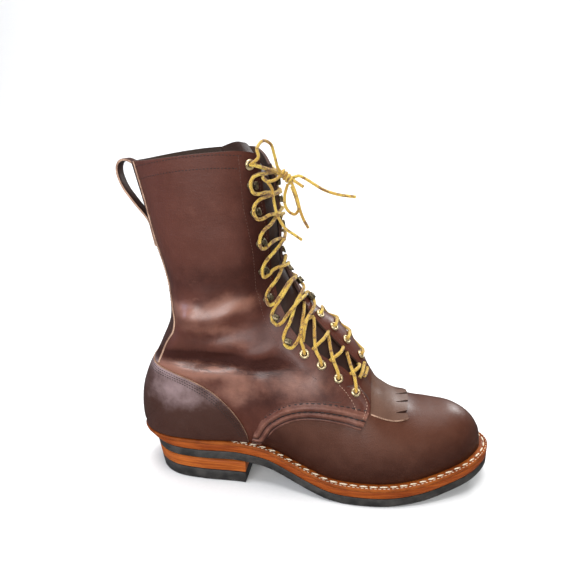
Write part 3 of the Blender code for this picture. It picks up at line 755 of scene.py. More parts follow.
def loft(rings, closed=False, caps=True):
    """Skin over rings of points; the ends are capped unless the rings close on themselves."""
    bm = bmesh.new()
    rows = [[bm.verts.new(point) for point in ring] for ring in rings]
    size = len(rows[0])
    pairs = list(zip(rows, rows[1:]))
    if closed:
        pairs.append((rows[-1], rows[0]))
    for row, after in pairs:
        for i in range(size):
            j = (i + 1) % size
            bm.faces.new((row[i], row[j], after[j], after[i]))
    if caps and not closed:
        bm.faces.new(rows[0][::-1])
        bm.faces.new(rows[-1])
    return bm


def outward(bm):
    """Merge doubled vertices and turn all faces out."""
    bmesh.ops.remove_doubles(bm, verts=bm.verts, dist=0.002)
    bmesh.ops.recalc_face_normals(bm, faces=bm.faces)
    return bm


# Shader maths

class Value:
    """A socket of a node tree; arithmetic on it adds Math nodes."""

    def __init__(self, tree, socket):
        self.tree = tree
        self.socket = socket

    def node(self, kind, settings=None, sockets=None, output=0):
        """Add any node: settings are set first, then values or links by socket name or number."""
        made = self.tree.nodes.new(kind)
        for name, setting in (settings or {}).items():
            setattr(made, name, setting)
        for name, value in (sockets or {}).items():
            self.feed(value, made.inputs[name])
        return Value(self.tree, made.outputs[output])

    def feed(self, value, socket):
        """Link a value to a socket, or set the socket to a plain number, vector or colour."""
        if isinstance(value, Value):
            self.tree.links.new(value.socket, socket)
        else:
            socket.default_value = value

    def maths(self, operation, first, second=0.0):
        return self.node("ShaderNodeMath", {"operation": operation}, {0: first, 1: second})

    def __add__(self, other):
        return self.maths("ADD", self, other)

    def __radd__(self, other):
        return self.maths("ADD", other, self)

    def __sub__(self, other):
        return self.maths("SUBTRACT", self, other)

    def __rsub__(self, other):
        return self.maths("SUBTRACT", other, self)

    def __mul__(self, other):
        return self.maths("MULTIPLY", self, other)

    def __rmul__(self, other):
        return self.maths("MULTIPLY", other, self)

    def __abs__(self):
        return self.maths("ABSOLUTE", self)

    def between(self, low, high):
        """0 below low, 1 above high, smooth between."""
        settings = {"interpolation_type": "SMOOTHSTEP"}
        return self.node("ShaderNodeMapRange", settings, {"Value": self, "From Min": low, "From Max": high})

    def noise(self, scale, detail=3.0, roughness=0.5, stretch=(1, 1, 1)):
        """Noise over this vector, from about 0.25 to 0.75."""
        spread = self.node("ShaderNodeVectorMath", {"operation": "MULTIPLY"}, {0: self, 1: stretch})
        sockets = {"Vector": spread, "Scale": scale, "Detail": detail, "Roughness": roughness}
        return self.node("ShaderNodeTexNoise", None, sockets)

    def cells(self, scale):
        """Distance to the nearest of many scattered points."""
        return self.node("ShaderNodeTexVoronoi", None, {"Vector": self, "Scale": scale})

    def mix(self, first, second):
        """Colour between two colours, with this value as the share of the second."""
        return self.node("ShaderNodeMix", {"data_type": "RGBA"}, {0: self, 6: first, 7: second}, output=2)

    def parts(self):
        """The three numbers of a vector."""
        made = self.node("ShaderNodeSeparateXYZ", None, {0: self}).socket.node
        return [Value(self.tree, socket) for socket in made.outputs]


class Finish:
    """A material under construction: its surface shader and the coordinates that it reads."""

    def __init__(self, name, **fixed):
        self.material = bpy.data.materials.new(name)
        self.material.use_nodes = True
        self.tree = self.material.node_tree
        self.shader = self.tree.nodes["Principled BSDF"]
        for socket, value in fixed.items():
            self.shader.inputs[socket.replace("_", " ")].default_value = value
        self.start = Value(self.tree, None)
        self.place = self.start.node("ShaderNodeTexCoord", output="Object")

    def painted(self, name, output="Fac"):
        """What is stored on the mesh under a name, as a number or as another output."""
        return self.start.node("ShaderNodeAttribute", {"attribute_name": name}, output=output)

    def surface(self, colour, roughness, height=None, depth=0.0003):
        """Link what changes over the surface; height is bumped out by depth metres."""
        self.start.feed(colour, self.shader.inputs["Base Color"])
        self.start.feed(roughness, self.shader.inputs["Roughness"])
        if height is not None:
            bump = self.start.node("ShaderNodeBump", None, {"Distance": depth, "Height": height})
            self.start.feed(bump, self.shader.inputs["Normal"])
        return self.material


def colour(red, green, blue):
    """Opaque colour."""
    return (red, green, blue, 1.0)


# Finishes

# Each LIGHT colour is what rubbing, scuffs and painted highlights lighten the leather to; COUNTER_LIGHT's
# grey is mostly the counter's painted sheen
SHAFT_DARK = colour(0.034, 0.0065, 0.003)
SHAFT_BASE = colour(0.088, 0.0245, 0.0145)
SHAFT_LIGHT = colour(0.290, 0.125, 0.082)
VAMP_DARK = colour(0.028, 0.006, 0.0025)
VAMP_BASE = colour(0.084, 0.028, 0.015)
VAMP_LIGHT = colour(0.150, 0.078, 0.052)
COUNTER_BASE = colour(0.050, 0.019, 0.013)
COUNTER_LIGHT = colour(0.330, 0.230, 0.232)
KILTIE_DARK = colour(0.06, 0.028, 0.018)
KILTIE_BASE = colour(0.125, 0.064, 0.043)
TONGUE_DARK = colour(0.012, 0.006, 0.005)
TONGUE_BASE = colour(0.035, 0.017, 0.013)
TONGUE_LIGHT = colour(0.06, 0.03, 0.022)


def grain(finish):
    """Fine leather grain with a few long stretch lines."""
    pebbles = finish.place.cells(950)
    pores = finish.place.noise(2400, 2)
    stretch = finish.place.noise(90, 4, 0.6, (1, 1, 3.5))
    return pebbles * 0.5 + pores * 0.35 + stretch * 1.6


def leather(name, dark, base, light, gloss, panel=None):
    """Oiled leather, with painted shade in the folds and painted highlight on their ridges, and lighter and
    glossier where it is rubbed and where highlights are painted.

    A panel is a second pair of colours, dark and base, for where the mesh is painted as vamp.
    """
    finish = Finish(name, Specular_IOR_Level=0.2, Coat_Roughness=0.34)
    fold = finish.painted("fold")
    wear_and_highlight = finish.painted("wear_and_highlight")
    shaded = finish.painted("shaded")
    rise = finish.painted("rise")
    clouds = finish.place.noise(14, 3)
    mottle = finish.place.noise(80, 5, 0.6)
    # Random tone, with painted shade in the folds' troughs and under the shaded patches, and painted
    # highlight on the folds' ridges
    tone_and_shade = (clouds - 0.5) * 0.7 + (mottle - 0.5) * 0.7 + 0.62 + fold * 0.25 - shaded * 0.55
    skin = tone_and_shade.between(-0.05, 0.85).mix(dark, base)
    if panel:
        # The vamp gets darker towards the welt: painted shade
        front = (tone_and_shade * 0.55 + rise.between(0.0, 0.75) * 0.5).between(0.2, 1.0).mix(panel[0], panel[1])
        skin = finish.painted("vamp").between(0.3, 0.7).mix(skin, front)
    # Lighter where rubbed, and where highlights and sheen are painted
    rubbed_and_highlit = (wear_and_highlight * 0.75 + (mottle - 0.5) * 0.8 + (clouds - 0.5) * 0.5).between(0.12, 0.95)
    skin = (rubbed_and_highlit * 0.75).mix(skin, light)
    scuffs = finish.place.noise(42, 8, 0.72, (1, 1, 1.6)).between(0.64, 0.76)
    skin = (scuffs * 0.25).mix(skin, light)
    lines = abs(finish.place.noise(170, 4, 0.6, (0.25, 0.25, 1.0)) - 0.5).between(0.0, 0.09)
    wrinkles = (1 - lines) * finish.painted("wrinkled").between(0.15, 0.9)
    # Painted shade in the fine wrinkle lines
    skin = (wrinkles * 0.6).mix(skin, dark)
    dull = shaded.between(0.15, 0.8)
    roughness = 0.46 + (mottle - 0.5) * 0.25 + scuffs * 0.15 + dull * 0.3
    polish = 0.3 + wear_and_highlight.between(0.1, 0.9) * 0.7
    coat = rise.between(-0.1, 0.8) * gloss * polish * (1 - dull)
    finish.start.feed(coat, finish.shader.inputs["Coat Weight"])
    return finish.surface(skin, roughness, grain(finish) - wrinkles * 3.2, 0.00018)


def banded_leather():
    """Quarter's lap: rounded rolls with painted highlight and grooves with painted shade, by distance from
    its lower edge.
    """
    finish = Finish("band_leather", Specular_IOR_Level=0.3, Coat_Weight=0.12, Coat_Roughness=0.3)
    seam = finish.painted("seam")
    mottle = finish.place.noise(75, 5, 0.6)
    groove = sum(1 - abs(seam - place).between(0.1, 0.75) for place in BAND_GROOVES)
    roll = sum(1 - abs(seam - place).between(0.0, half) for place, half in BAND_ROLLS)
    # Painted highlight on the rolls and painted shade in the grooves
    skin = ((mottle - 0.5) * 1.3 + 0.20 + roll * 0.15).between(0, 1).mix(SHAFT_BASE, SHAFT_LIGHT)
    skin = (groove * 0.9).mix(skin, SHAFT_DARK)
    height = roll * 3.0 - groove * 1.6 + grain(finish) * 0.3
    return finish.surface(skin, 0.46 + groove * 0.2 + (mottle - 0.5) * 0.2, height, 0.0006)


def raw_edge(name, pale, dark):
    """Cut edge of leather: pale fibres with darker dirt."""
    finish = Finish(name)
    fibres = finish.place.noise(1500, 3, 0.6, (1, 1, 0.4))
    dirt = finish.place.noise(120, 3)
    skin = ((fibres - 0.5) * 1.5 + (dirt - 0.5) * 1.6 + 0.6).between(0, 1).mix(dark, pale)
    return finish.surface(skin, 0.75, fibres, 0.0003)


def lining():
    """Brown suede of the boot's inside."""
    finish = Finish("lining_leather")
    suede = finish.place.noise(900, 4, 0.65)
    clouds = finish.place.noise(20, 3)
    skin = ((clouds - 0.5) * 1.5 + (suede - 0.5) + 0.5).between(0, 1).mix(
        colour(0.018, 0.009, 0.006), colour(0.070, 0.035, 0.020))
    return finish.surface(skin, 0.85, suede, 0.0003)


def welt_leather():
    """Amber leather of the welt."""
    finish = Finish("welt_leather", Specular_IOR_Level=0.12)
    clouds = finish.place.noise(60, 4)
    fibres = finish.place.noise(700, 3, 0.6, (0.4, 0.4, 3))
    skin = ((clouds - 0.5) * 1.6 + (fibres - 0.5) * 0.8 + 0.5).between(0, 1).mix(
        colour(0.140, 0.026, 0.004), colour(0.310, 0.080, 0.011))
    return finish.surface(skin, 0.42 + (clouds - 0.5) * 0.3, fibres, 0.00025)


def stacked_leather(name, dark, pale):
    """Trimmed and stained edge with fine layers."""
    finish = Finish(name, Specular_IOR_Level=0.12)
    layers = finish.place.noise(40, 3, 0.55, (1, 1, 34))
    clouds = finish.place.noise(45, 4)
    skin = ((layers - 0.5) * 2.2 + (clouds - 0.5) * 0.9 + 0.5).between(0, 1).mix(dark, pale)
    return finish.surface(skin, 0.45 + (clouds - 0.5) * 0.25, layers, 0.00025)


def black_rubber():
    """Dusty rubber of the outsole and the heel's cap."""
    finish = Finish("rubber", Specular_IOR_Level=0.3)
    dust = finish.place.noise(70, 6, 0.65)
    pits = finish.place.noise(900, 2)
    skin = dust.between(0.35, 0.75).mix(colour(0.016, 0.015, 0.014), colour(0.052, 0.047, 0.043))
    return finish.surface(skin, 0.55 + (dust - 0.5) * 0.4, pits, 0.0002)


def aged_brass(name, bright, tarnish):
    """Scratched metal with patches of patina."""
    finish = Finish(name, Metallic=0.75)
    patina = finish.place.noise(420, 4, 0.6)
    scratches = finish.place.noise(1500, 2, 0.5, (1, 1, 0.2))
    skin = ((patina - 0.5) * 2.4 + 0.5).between(0, 1).mix(tarnish, bright)
    return finish.surface(skin, 0.30 + (patina - 0.5) * 0.4, scratches, 0.0001)


def lace_cloth():
    """Braided golden lace with rust flecks, in the cord's own round and run."""
    braid_pace, braid_strands = 3.2, 18.85
    finish = Finish("lace_cloth", Sheen_Weight=0.25)
    weave = finish.painted("weave", "Vector")
    flecks = weave.noise(0.34, 2, 0.6, (1, 1, 0.7))
    tint = weave.noise(0.05, 2)
    _, _, run = weave.parts()
    turn = finish.painted("turn")
    braid_left = finish.start.maths("SINE", run * braid_pace + turn * braid_strands)
    braid_right = finish.start.maths("SINE", run * braid_pace - turn * braid_strands)
    braid = finish.start.maths("MAXIMUM", braid_left, braid_right)
    skin = tint.between(0.35, 0.65).mix(colour(0.560, 0.300, 0.016), colour(0.860, 0.600, 0.080))
    skin = (flecks.between(0.52, 0.60) * 0.85).mix(skin, colour(0.190, 0.055, 0.010))
    skin = ((1 - braid.between(-0.6, 0.6)) * 0.55).mix(skin, colour(0.160, 0.065, 0.008))
    return finish.surface(skin, 0.62, braid, 0.0003)


def thread(name, pale, dark):
    """Twisted thread, also for the painted shade of the eyelets' holes."""
    finish = Finish(name)
    twist = finish.place.noise(1800, 2)
    skin = twist.between(0.35, 0.65).mix(dark, pale)
    return finish.surface(skin, 0.6, twist, 0.0002)


def make_finishes():
    """Every material of the boot, by a short name."""
    return {
        "shaft": leather("shaft_leather", SHAFT_DARK, SHAFT_BASE, SHAFT_LIGHT, 0.9, (VAMP_DARK, VAMP_BASE)),
        "vamp": leather("vamp_leather", VAMP_DARK, VAMP_BASE, VAMP_LIGHT, 0.9),
        "counter": leather("counter_leather", VAMP_DARK, COUNTER_BASE, COUNTER_LIGHT, 0.5),
        "kiltie": leather("kiltie_leather", KILTIE_DARK, KILTIE_BASE, VAMP_LIGHT, 0.2),
        "tongue": leather("tongue_leather", TONGUE_DARK, TONGUE_BASE, TONGUE_LIGHT, 0.1),
        "band": banded_leather(),
        "pale_edge": raw_edge("pale_edge", colour(0.46, 0.29, 0.20), colour(0.15, 0.068, 0.040)),
        "dark_edge": raw_edge("dark_edge", colour(0.08, 0.032, 0.020), colour(0.022, 0.008, 0.005)),
        "lining": lining(),
        "welt": welt_leather(),
        "midsole": stacked_leather("stack_leather", colour(0.15, 0.024, 0.003), colour(0.31, 0.068, 0.008)),
        "lift": stacked_leather("lift_leather", colour(0.22, 0.044, 0.006), colour(0.42, 0.110, 0.016)),
        "rubber": black_rubber(),
        "brass": aged_brass("brass", colour(0.88, 0.74, 0.46), colour(0.36, 0.25, 0.12)),
        "hook_brass": aged_brass("hook_brass", colour(0.20, 0.16, 0.09), colour(0.045, 0.032, 0.018)),
        "hole": thread("hole_painted_shade", colour(0.006, 0.004, 0.003), colour(0.003, 0.002, 0.002)),
        "lace": lace_cloth(),
        "white_thread": thread("white_thread", colour(0.86, 0.76, 0.60), colour(0.55, 0.42, 0.28)),
        "pale_thread": thread("pale_thread", colour(0.46, 0.30, 0.22), colour(0.20, 0.10, 0.06)),
        "tan_thread": thread("tan_thread", colour(0.12, 0.055, 0.035), colour(0.06, 0.022, 0.014)),
        "dark_thread": thread("dark_thread", colour(0.016, 0.007, 0.005), colour(0.008, 0.004, 0.003)),
    }


# Geometry Nodes

class Tree:
    """A Geometry Nodes tree under construction, with named inputs."""

    def __init__(self, name, inputs):
        self.group = bpy.data.node_groups.new(name, "GeometryNodeTree")
        self.group.interface.new_socket("Geometry", in_out="INPUT", socket_type="NodeSocketGeometry")
        for label, kind in inputs:
            self.group.interface.new_socket(label, in_out="INPUT", socket_type="NodeSocket" + kind)
        self.group.interface.new_socket("Geometry", in_out="OUTPUT", socket_type="NodeSocketGeometry")
        self.inputs = self.group.nodes.new("NodeGroupInput").outputs
        self.output = self.group.nodes.new("NodeGroupOutput").inputs[0]

    def node(self, kind, settings=None, sockets=None, output=0):
        """Add any node, as in the materials; its output socket can be linked on."""
        made = self.group.nodes.new(kind)
        for name, setting in (settings or {}).items():
            setattr(made, name, setting)
        for name, value in (sockets or {}).items():
            if isinstance(value, bpy.types.NodeSocket):
                self.group.links.new(value, made.inputs[name])
            else:
                made.inputs[name].default_value = value
        return made.outputs[output]

    def vector(self, name):
        """Vector stored on the points under a name."""
        return self.node("GeometryNodeInputNamedAttribute", {"data_type": "FLOAT_VECTOR"}, {"Name": name})

    def facing(self, along, out):
        """Rotation with x along the path and z out of the surface."""
        first = self.node("FunctionNodeAlignRotationToVector", {"axis": "Z"}, {"Vector": out})
        sockets = {"Rotation": first, "Vector": along}
        return self.node("FunctionNodeAlignRotationToVector", {"axis": "X", "pivot_axis": "Z"}, sockets)

    def end(self, instances):
        """Realize the instances and set the material input on them."""
        real = self.node("GeometryNodeRealizeInstances", None, {0: instances})
        smooth_faces = self.node("GeometryNodeSetShadeSmooth", None, {0: real})
        sockets = {0: smooth_faces, "Material": self.inputs["Material"]}
        skinned = self.node("GeometryNodeSetMaterial", None, sockets)
        self.group.links.new(skinned, self.output)
        return self.group


def stitch_tree():
    """Stitches of one size, a pitch apart along each line."""
    sizes = [(label, "Float") for label in ("Pitch", "Length", "Width", "Height")]
    tree = Tree("stitch_row", sizes + [("Seed", "Int"), ("Material", "Material")])
    line = tree.node("GeometryNodeMeshToCurve", None, {0: tree.inputs["Geometry"]})
    places = tree.node("GeometryNodeResampleCurve", {"mode": "LENGTH"},
                       {"Curve": line, "Length": tree.inputs["Pitch"]})
    along = tree.node("GeometryNodeInputTangent")
    out = tree.vector("out")
    bead = tree.node("GeometryNodeMeshUVSphere", None, {"Segments": 8, "Rings": 5, "Radius": 0.5})
    wobble = tree.node("FunctionNodeRandomValue", {"data_type": "FLOAT"},
                       {2: 0.88, 3: 1.1, "Seed": tree.inputs["Seed"]}, output=1)
    length = tree.node("ShaderNodeMath", {"operation": "MULTIPLY"}, {0: tree.inputs["Length"], 1: wobble})
    size = tree.node("ShaderNodeCombineXYZ", None,
                     {0: length, 1: tree.inputs["Width"], 2: tree.inputs["Height"]})
    stitches = tree.node("GeometryNodeInstanceOnPoints", None, {
        "Points": places, "Instance": bead, "Rotation": tree.facing(along, out), "Scale": size})
    return tree.end(stitches)


def setting_tree():
    """One made part set at each point, turned by the point's own directions."""
    tree = Tree("set_parts", [("Part", "Object"), ("Material", "Material")])
    along = tree.vector("along")
    out = tree.vector("out")
    part = tree.node("GeometryNodeObjectInfo", None, {"Object": tree.inputs["Part"]}, output="Geometry")
    copies = tree.node("GeometryNodeInstanceOnPoints", None, {
        "Points": tree.inputs["Geometry"], "Instance": part, "Rotation": tree.facing(along, out)})
    return tree.end(copies)


def grown(name, lines, group, **inputs):
    """Run a tree over lines of (places, vectors by name) and keep the result as a plain mesh.

    The places are joined to lines for stitches, which have a pitch, and stay single points for set parts.
    """
    places = np.concatenate([line[0] for line in lines])
    mesh = bpy.data.meshes.new(name)
    edges = []
    first = 0
    for line in lines:
        count = len(line[0])
        edges += [(first + i, first + i + 1) for i in range(count - 1)]
        first += count
    mesh.from_pydata(to_frame(places).tolist(), edges if "Pitch" in inputs else [], [])
    for label in lines[0][1]:
        layer = mesh.attributes.new(label, "FLOAT_VECTOR", "POINT")
        values = np.concatenate([line[1][label] for line in lines]).astype(np.float32)
        layer.data.foreach_set("vector", values.ravel())
    piece = linked(name, mesh)
    modifier = piece.modifiers.new("grown", "NODES")
    modifier.node_group = group
    for item in group.interface.items_tree:
        if item.in_out == "INPUT" and item.name in inputs:
            modifier[item.identifier] = inputs[item.name]
    baked(piece)
    bpy.data.meshes.remove(mesh)
    return piece


# Leather pieces

def shell_skins(skins, name):
    """Skin, rim and back of a shell."""
    return skins[name], skins["dark_edge"], skins["lining"]


def upper_piece(upper, skins):
    """The hollow upper with its creases; vamp and shaft differ in colour."""
    bm = shell(upper.surface(), 0, -WALL)
    piece = finished("upper_leather", bm, *shell_skins(skins, "shaft"), sharp=60)
    paint_leather(piece)
    places = local_points(piece.data)
    low = np.array(BAND_LOW)
    lap = np.interp(places[:, 0], low[:, 0], low[:, 1], left=-100, right=500)
    paint(piece, "vamp", np.clip((lap - places[:, 2]) / 2 + 0.5, 0, 1))
    return stands_for(piece, "shaft_leather", "upper")


def cutter(outline, axis, low, high, skin):
    """Prism: an outline of two coordinates drawn along the third axis."""
    rings = []
    for depth in (low, high):
        rings.append([np.insert(np.asarray(pair, float), axis, depth) for pair in outline])
    return finished("cutter", outward(loft(rings)), skin)


def overlay(name, sheet, prism, *skins, thick=OVERLAY):
    """Leather over the upper: a shell outside the wall, kept inside a prism whose skin the cut faces take."""
    piece = finished(name, shell(sheet, CLEAR + thick, CLEAR), *skins)
    cut = piece.modifiers.new("outline", "BOOLEAN")
    cut.operation = "INTERSECT"
    cut.solver = "EXACT"
    cut.use_self = True
    cut.use_hole_tolerant = True
    cut.material_mode = "TRANSFER"
    cut.object = prism
    baked(piece)
    bpy.data.objects.remove(prism)
    piece.data.shade_smooth()
    piece.data.set_sharp_from_angle(angle=math.radians(40))
    paint_leather(piece)
    return piece


def counter(upper, skins):
    """Heel overlay with a curved front edge."""
    behind, above, front, half_depth = -20, 115, 109.5, 80
    edge = smooth(COUNTER_EDGE, 2)
    outline = [(behind, COUNTER_FOOT), (behind, above), *edge, (front, COUNTER_FOOT)]
    prism = cutter(outline, 1, -half_depth, half_depth, skins["pale_edge"])
    piece = overlay("counter_leather", upper.surface(11.5, 25), prism, *shell_skins(skins, "counter"))
    return stands_for(piece, "vamp_leather", "counter")


def backstay(upper, skins):
    """Strip up the back, widest over the heel, with a notch in its foot."""
    notch, behind, front = 3.5, -30, 75
    widths = smooth(BACKSTAY, 3)
    outline = [(HEEL_Y, BACKSTAY[0][0] + notch)] + [(HEEL_Y - half, z) for z, half in widths]
    outline += [(HEEL_Y + half, z) for z, half in widths[::-1]]
    prism = cutter(outline, 0, behind, front, skins["pale_edge"])
    sheet = upper.surface(17, 29)
    piece = overlay("backstay_leather", sheet, prism, *shell_skins(skins, "counter"), thick=THIN_OVERLAY)
    return stands_for(piece, "vamp_leather", "backstay")


def band_outline():
    lower = [*smooth(BAND_LOW[1:], 2), *smooth(BAND_FRONT, 2)[1:]]
    return [*lower, *BAND_BACK, *smooth(BAND_HIGH, 2), BAND_LOW[0]]


def raised(piece, ground, share):
    """Scale a piece's height over the leather under it: low shares blend it in, high ones lift it off."""
    lowest = 0.12
    mesh = piece.data
    places = local_points(mesh)
    for i, keep in enumerate(np.maximum(share, lowest)):
        if keep != 1:
            under, _, _, _ = ground.find_nearest(Vector(places[i]))
            places[i] = np.array(under) + (places[i] - np.array(under)) * keep
    mesh.vertices.foreach_set("co", to_frame(places).astype(np.float32).ravel())
    mesh.update()


def quarter_band(side, word, upper, ground, skins):
    """Rolled lap of the quarter over the vamp; above its top row of stitches it is plain shaft leather."""
    past_side = 90
    prism = cutter(band_outline(), 1, *sorted((0, side * past_side)), skins["dark_edge"])
    sheet = upper.surface(6.5, 15.5, (side,))
    piece = overlay(f"quarter_band_{word}_leather", sheet, prism, *shell_skins(skins, "band"))
    flat = local_points(piece.data)[:, (0, 2)]
    from_low, _ = distance_to(flat, smooth(BAND_LOW, 2))
    from_front, _ = distance_to(flat, smooth(BAND_FRONT, 2))
    blended = np.maximum(faded(from_low, *BAND_BLEND), faded(from_front, *TAB_BLEND))
    raised(piece, ground, blended)
    paint(piece, "seam", from_low)
    piece.data.materials.append(skins["shaft"])
    paint(piece, "vamp", np.zeros(len(flat)))
    for face in piece.data.polygons:
        if face.material_index == 0 and min(from_low[i] for i in face.vertices) > BAND_TOP_ROW - 1:
            face.material_index = len(piece.data.materials) - 1
    return stands_for(piece, "shaft_leather", f"quarter_band_{word}")


def kiltie(upper, ground, skins):
    """Fringed flap on the vamp; each slit widens to the front, and its back blends in under the quarter."""
    front, middle, slit, slit_shade_half = 244.5, 9.5, 11, 29.5
    first_tip, tip_spacing, first_root, root_spacing, count = -16, 15, -22, 12.4, 4
    opening, root, bow = 3.4, 0.6, 0.003
    widths = smooth(KILTIE_WIDTHS, 3)
    outline = [(x, middle - half) for x, half in widths]
    for number in range(count):
        tip_y = first_tip + number * tip_spacing
        root_y = first_root + number * root_spacing
        tip = front - bow * (tip_y - middle) ** 2
        outline += [(tip, tip_y - opening / 2), (front - slit, root_y - root / 2)]
        outline += [(front - slit, root_y + root / 2), (tip, tip_y + opening / 2)]
    outline += [(x, middle + half) for x, half in widths[::-1]]
    prism = cutter(outline, 2, BELOW_KILTIE, ABOVE_KILTIE, skins["pale_edge"])
    sheet = upper.surface(4.5, 8.9)
    piece = overlay("kiltie_leather", sheet, prism, *shell_skins(skins, "kiltie"), thick=THIN_OVERLAY)
    cut_edge = piece.data.materials.find(skins["pale_edge"].name)
    from_back = local_points(piece.data)[:, 0] - KILTIE_WIDTHS[0][0]
    raised(piece, ground, 1 - faded(from_back, 0, 9) + (1 - faded(from_back, 18, 31)))
    for face in piece.data.polygons:
        if max(from_back[i] for i in face.vertices) < 0.5:
            face.material_index = 0
        # Cut sides in the middle of the fringe take the dark edge: painted shade in the slits
        elif face.material_index == cut_edge and abs(face.center.y - SHIFT.y - middle * MM) < slit_shade_half * MM:
            face.material_index = 1
    return stands_for(piece, "vamp_leather", "kiltie")


def tongue(upper, skins):
    """Flap behind the throat; its top leans back from the collar's front and rises over it."""
    wing, lean_from, lean, thick, columns = 13, 255, 12, 2, 44
    low, hump, hump_y, hump_half, hump_power = -4, 14.5, -16, 19, 2.5
    collar_front = SHAFT_SECTIONS[-1][3]
    rows = np.linspace(8.4, upper.last, 200)
    bm = bmesh.new()
    grid = []
    for row in rows:
        section = upper.section(row)
        back = max(0, (section["top"][1] - lean_from) / (collar_front - lean_from)) ** 2
        line = []
        for y in np.linspace(section["edge"][OUTER] - wing, section["edge"][INNER] + wing, columns + 1):
            angle = upper.angle_at(section, INNER, y - section["ridge"])
            point = upper.at(section, INNER, angle)[0]
            top = low + hump * math.exp(-abs((y - hump_y) / hump_half) ** hump_power)
            line.append(bm.verts.new(point + np.array((-lean * back, 0, top * back))))
        grid.append(line)
    fill_grid(bm, grid)
    bm.normal_update()
    behind = -(WALL + 3 * CLEAR)
    piece = finished("tongue_leather", shell(bm, behind, behind - thick), *shell_skins(skins, "tongue"))
    return stands_for(piece, "vamp_leather", "tongue")


def pull_loop(skins):
    """Strap from inside the collar, up over its back edge and down to the backstay, with pale cut sides."""
    route = (
        (17.5, 262), (14.5, 268), (10, 271.8), (3.5, 273.8), (-0.6, 272.2), (-2.8, 268.2), (-3.1, 263.8),
        (-1.4, 256.8), (1.9, 249.8), (6.5, 243.3), (12, 236), (17.4, 229.6), (21.2, 224), (23.6, 214),
        (25.8, 203),
    )
    half_width, thick, round_off = 5.5, 2, 0.4
    path = smooth(route, 2)
    section = ((1, -1 + round_off), (1 - round_off / 2, -1), (-1 + round_off / 2, -1), (-1, -1 + round_off))
    section += tuple((face, -edge) for face, edge in reversed(section))
    rings = []
    for (x, z), (along_x, along_z) in zip(path, tangents(path)):
        ring = []
        for face, edge in section:
            reach = half_width - (1 - abs(edge))
            ring.append((x - along_z * face * thick / 2, HEEL_Y + math.copysign(reach, edge),
                         z + along_x * face * thick / 2))
        rings.append(ring)
    bm = outward(loft(rings))
    for face in bm.faces:
        if abs(face.normal.y) > 0.5:
            face.material_index = 1
    piece = finished("pull_loop_leather", bm, skins["counter"], skins["pale_edge"])
    return stands_for(piece, "vamp_leather", "pull_loop")


# Sole pieces

def sole_layer(name, profile, ring, skin, slot, node):
    """Layer through closed lines at (inset, height); a ring closes on itself, other layers are filled."""
    loops = [sole_loop(inset, height) for inset, height in profile]
    bm = loft(loops, closed=ring, caps=False)
    if not ring:
        bm.verts.ensure_lookup_table()
        size = 2 * SOLE_STEPS
        for first, turned in ((0, False), (size * (len(loops) - 1), True)):
            for i in range(SOLE_STEPS):
                picks = [i, i + 1, (size - i - 1) % size, (size - i) % size]
                corners = list(dict.fromkeys(picks))
                face = [bm.verts[first + pick] for pick in corners]
                bm.faces.new(face[::-1] if turned else face)
    piece = finished(name, outward(bm), skin, sharp=50)
    return stands_for(piece, slot, node)


def outsole(skins):
    """Rubber with rounded edges."""
    profile = ((1.6, 0), (0.4, 0.5), (0, 1.5), (0, 6.8), (0.5, 7.7))
    return sole_layer("outsole_rubber", profile, False, skins["rubber"], "rubber", "outsole")


def midsole(skins):
    """Leather that swells a little between its edges."""
    low = OUTSOLE
    profile = ((0.8, low), (0.3, low + 0.5), (0.1, low + 3), (0.2, low + 5.9), (0.4, low + MIDSOLE - CLEAR))
    return sole_layer("midsole_leather", profile, False, skins["midsole"], "stack_leather", "midsole")


def welt(skins):
    """Ring with a rolled edge and a groove for the stitches."""
    low = OUTSOLE + MIDSOLE
    top = low + WELT - CLEAR
    hidden = tuple((x, inset + WALL + 3 * CLEAR) for x, inset in FEATHER_INSET)
    profile = ((0.3, low), (0, low + 0.4), (0, top - 0.9), (0.4, top - 0.2), (1.1, top), (2.4, top),
               (2.9, top - 0.35), (3.7, top - 0.35), (4.2, top), (hidden, top), (hidden, low))
    return sole_layer("welt_rim", profile, True, skins["welt"], "welt_leather", "welt")


def heel_loop(z, inset):
    """Outline of the heel at one height: the sole's edge up to the breast."""
    points = []
    for edge, order in zip(sole_edges(inset, SOLE_STEPS), (1, -1)):
        breast_y = float(np.interp(HEEL_BREAST, edge[:, 0], edge[:, 1]))
        side = [(float(undercut(np.array(x), z)), y, z) for x, y in edge if x < HEEL_BREAST - 1.5]
        side.append((HEEL_BREAST - inset, breast_y, z))
        points.extend(side[::order])
    return points[:-1]


def heel_layer(name, low, high, skin, slot, node):
    """Layer of the heel between two heights, with rounded edges."""
    profile = ((0.9, low), (0.1, low + 0.6), (0, (low + high) / 2), (0.1, high - 0.6), (0.7, high))
    bm = outward(loft([heel_loop(z, inset) for inset, z in profile]))
    return stands_for(finished(name, bm, skin, sharp=50), slot, node)


def sole_pieces(skins):
    """Layers of heel and sole; the insole keeps its solid and takes the lining's skin."""
    heel_layer("heel_cap_rubber", 0, CAP_HEIGHT - CLEAR, skins["rubber"], "rubber", "heel_cap")
    lift_top = CAP_HEIGHT + LIFT_HEIGHT - CLEAR
    heel_layer("heel_lift_leather", CAP_HEIGHT, lift_top, skins["lift"], "stack_leather", "heel_lift")
    outsole(skins)
    midsole(skins)
    welt(skins)
    inside = frame["nodes"]["insole"]
    inside.data.materials.clear()
    inside.data.materials.append(skins["lining"])


# Seams

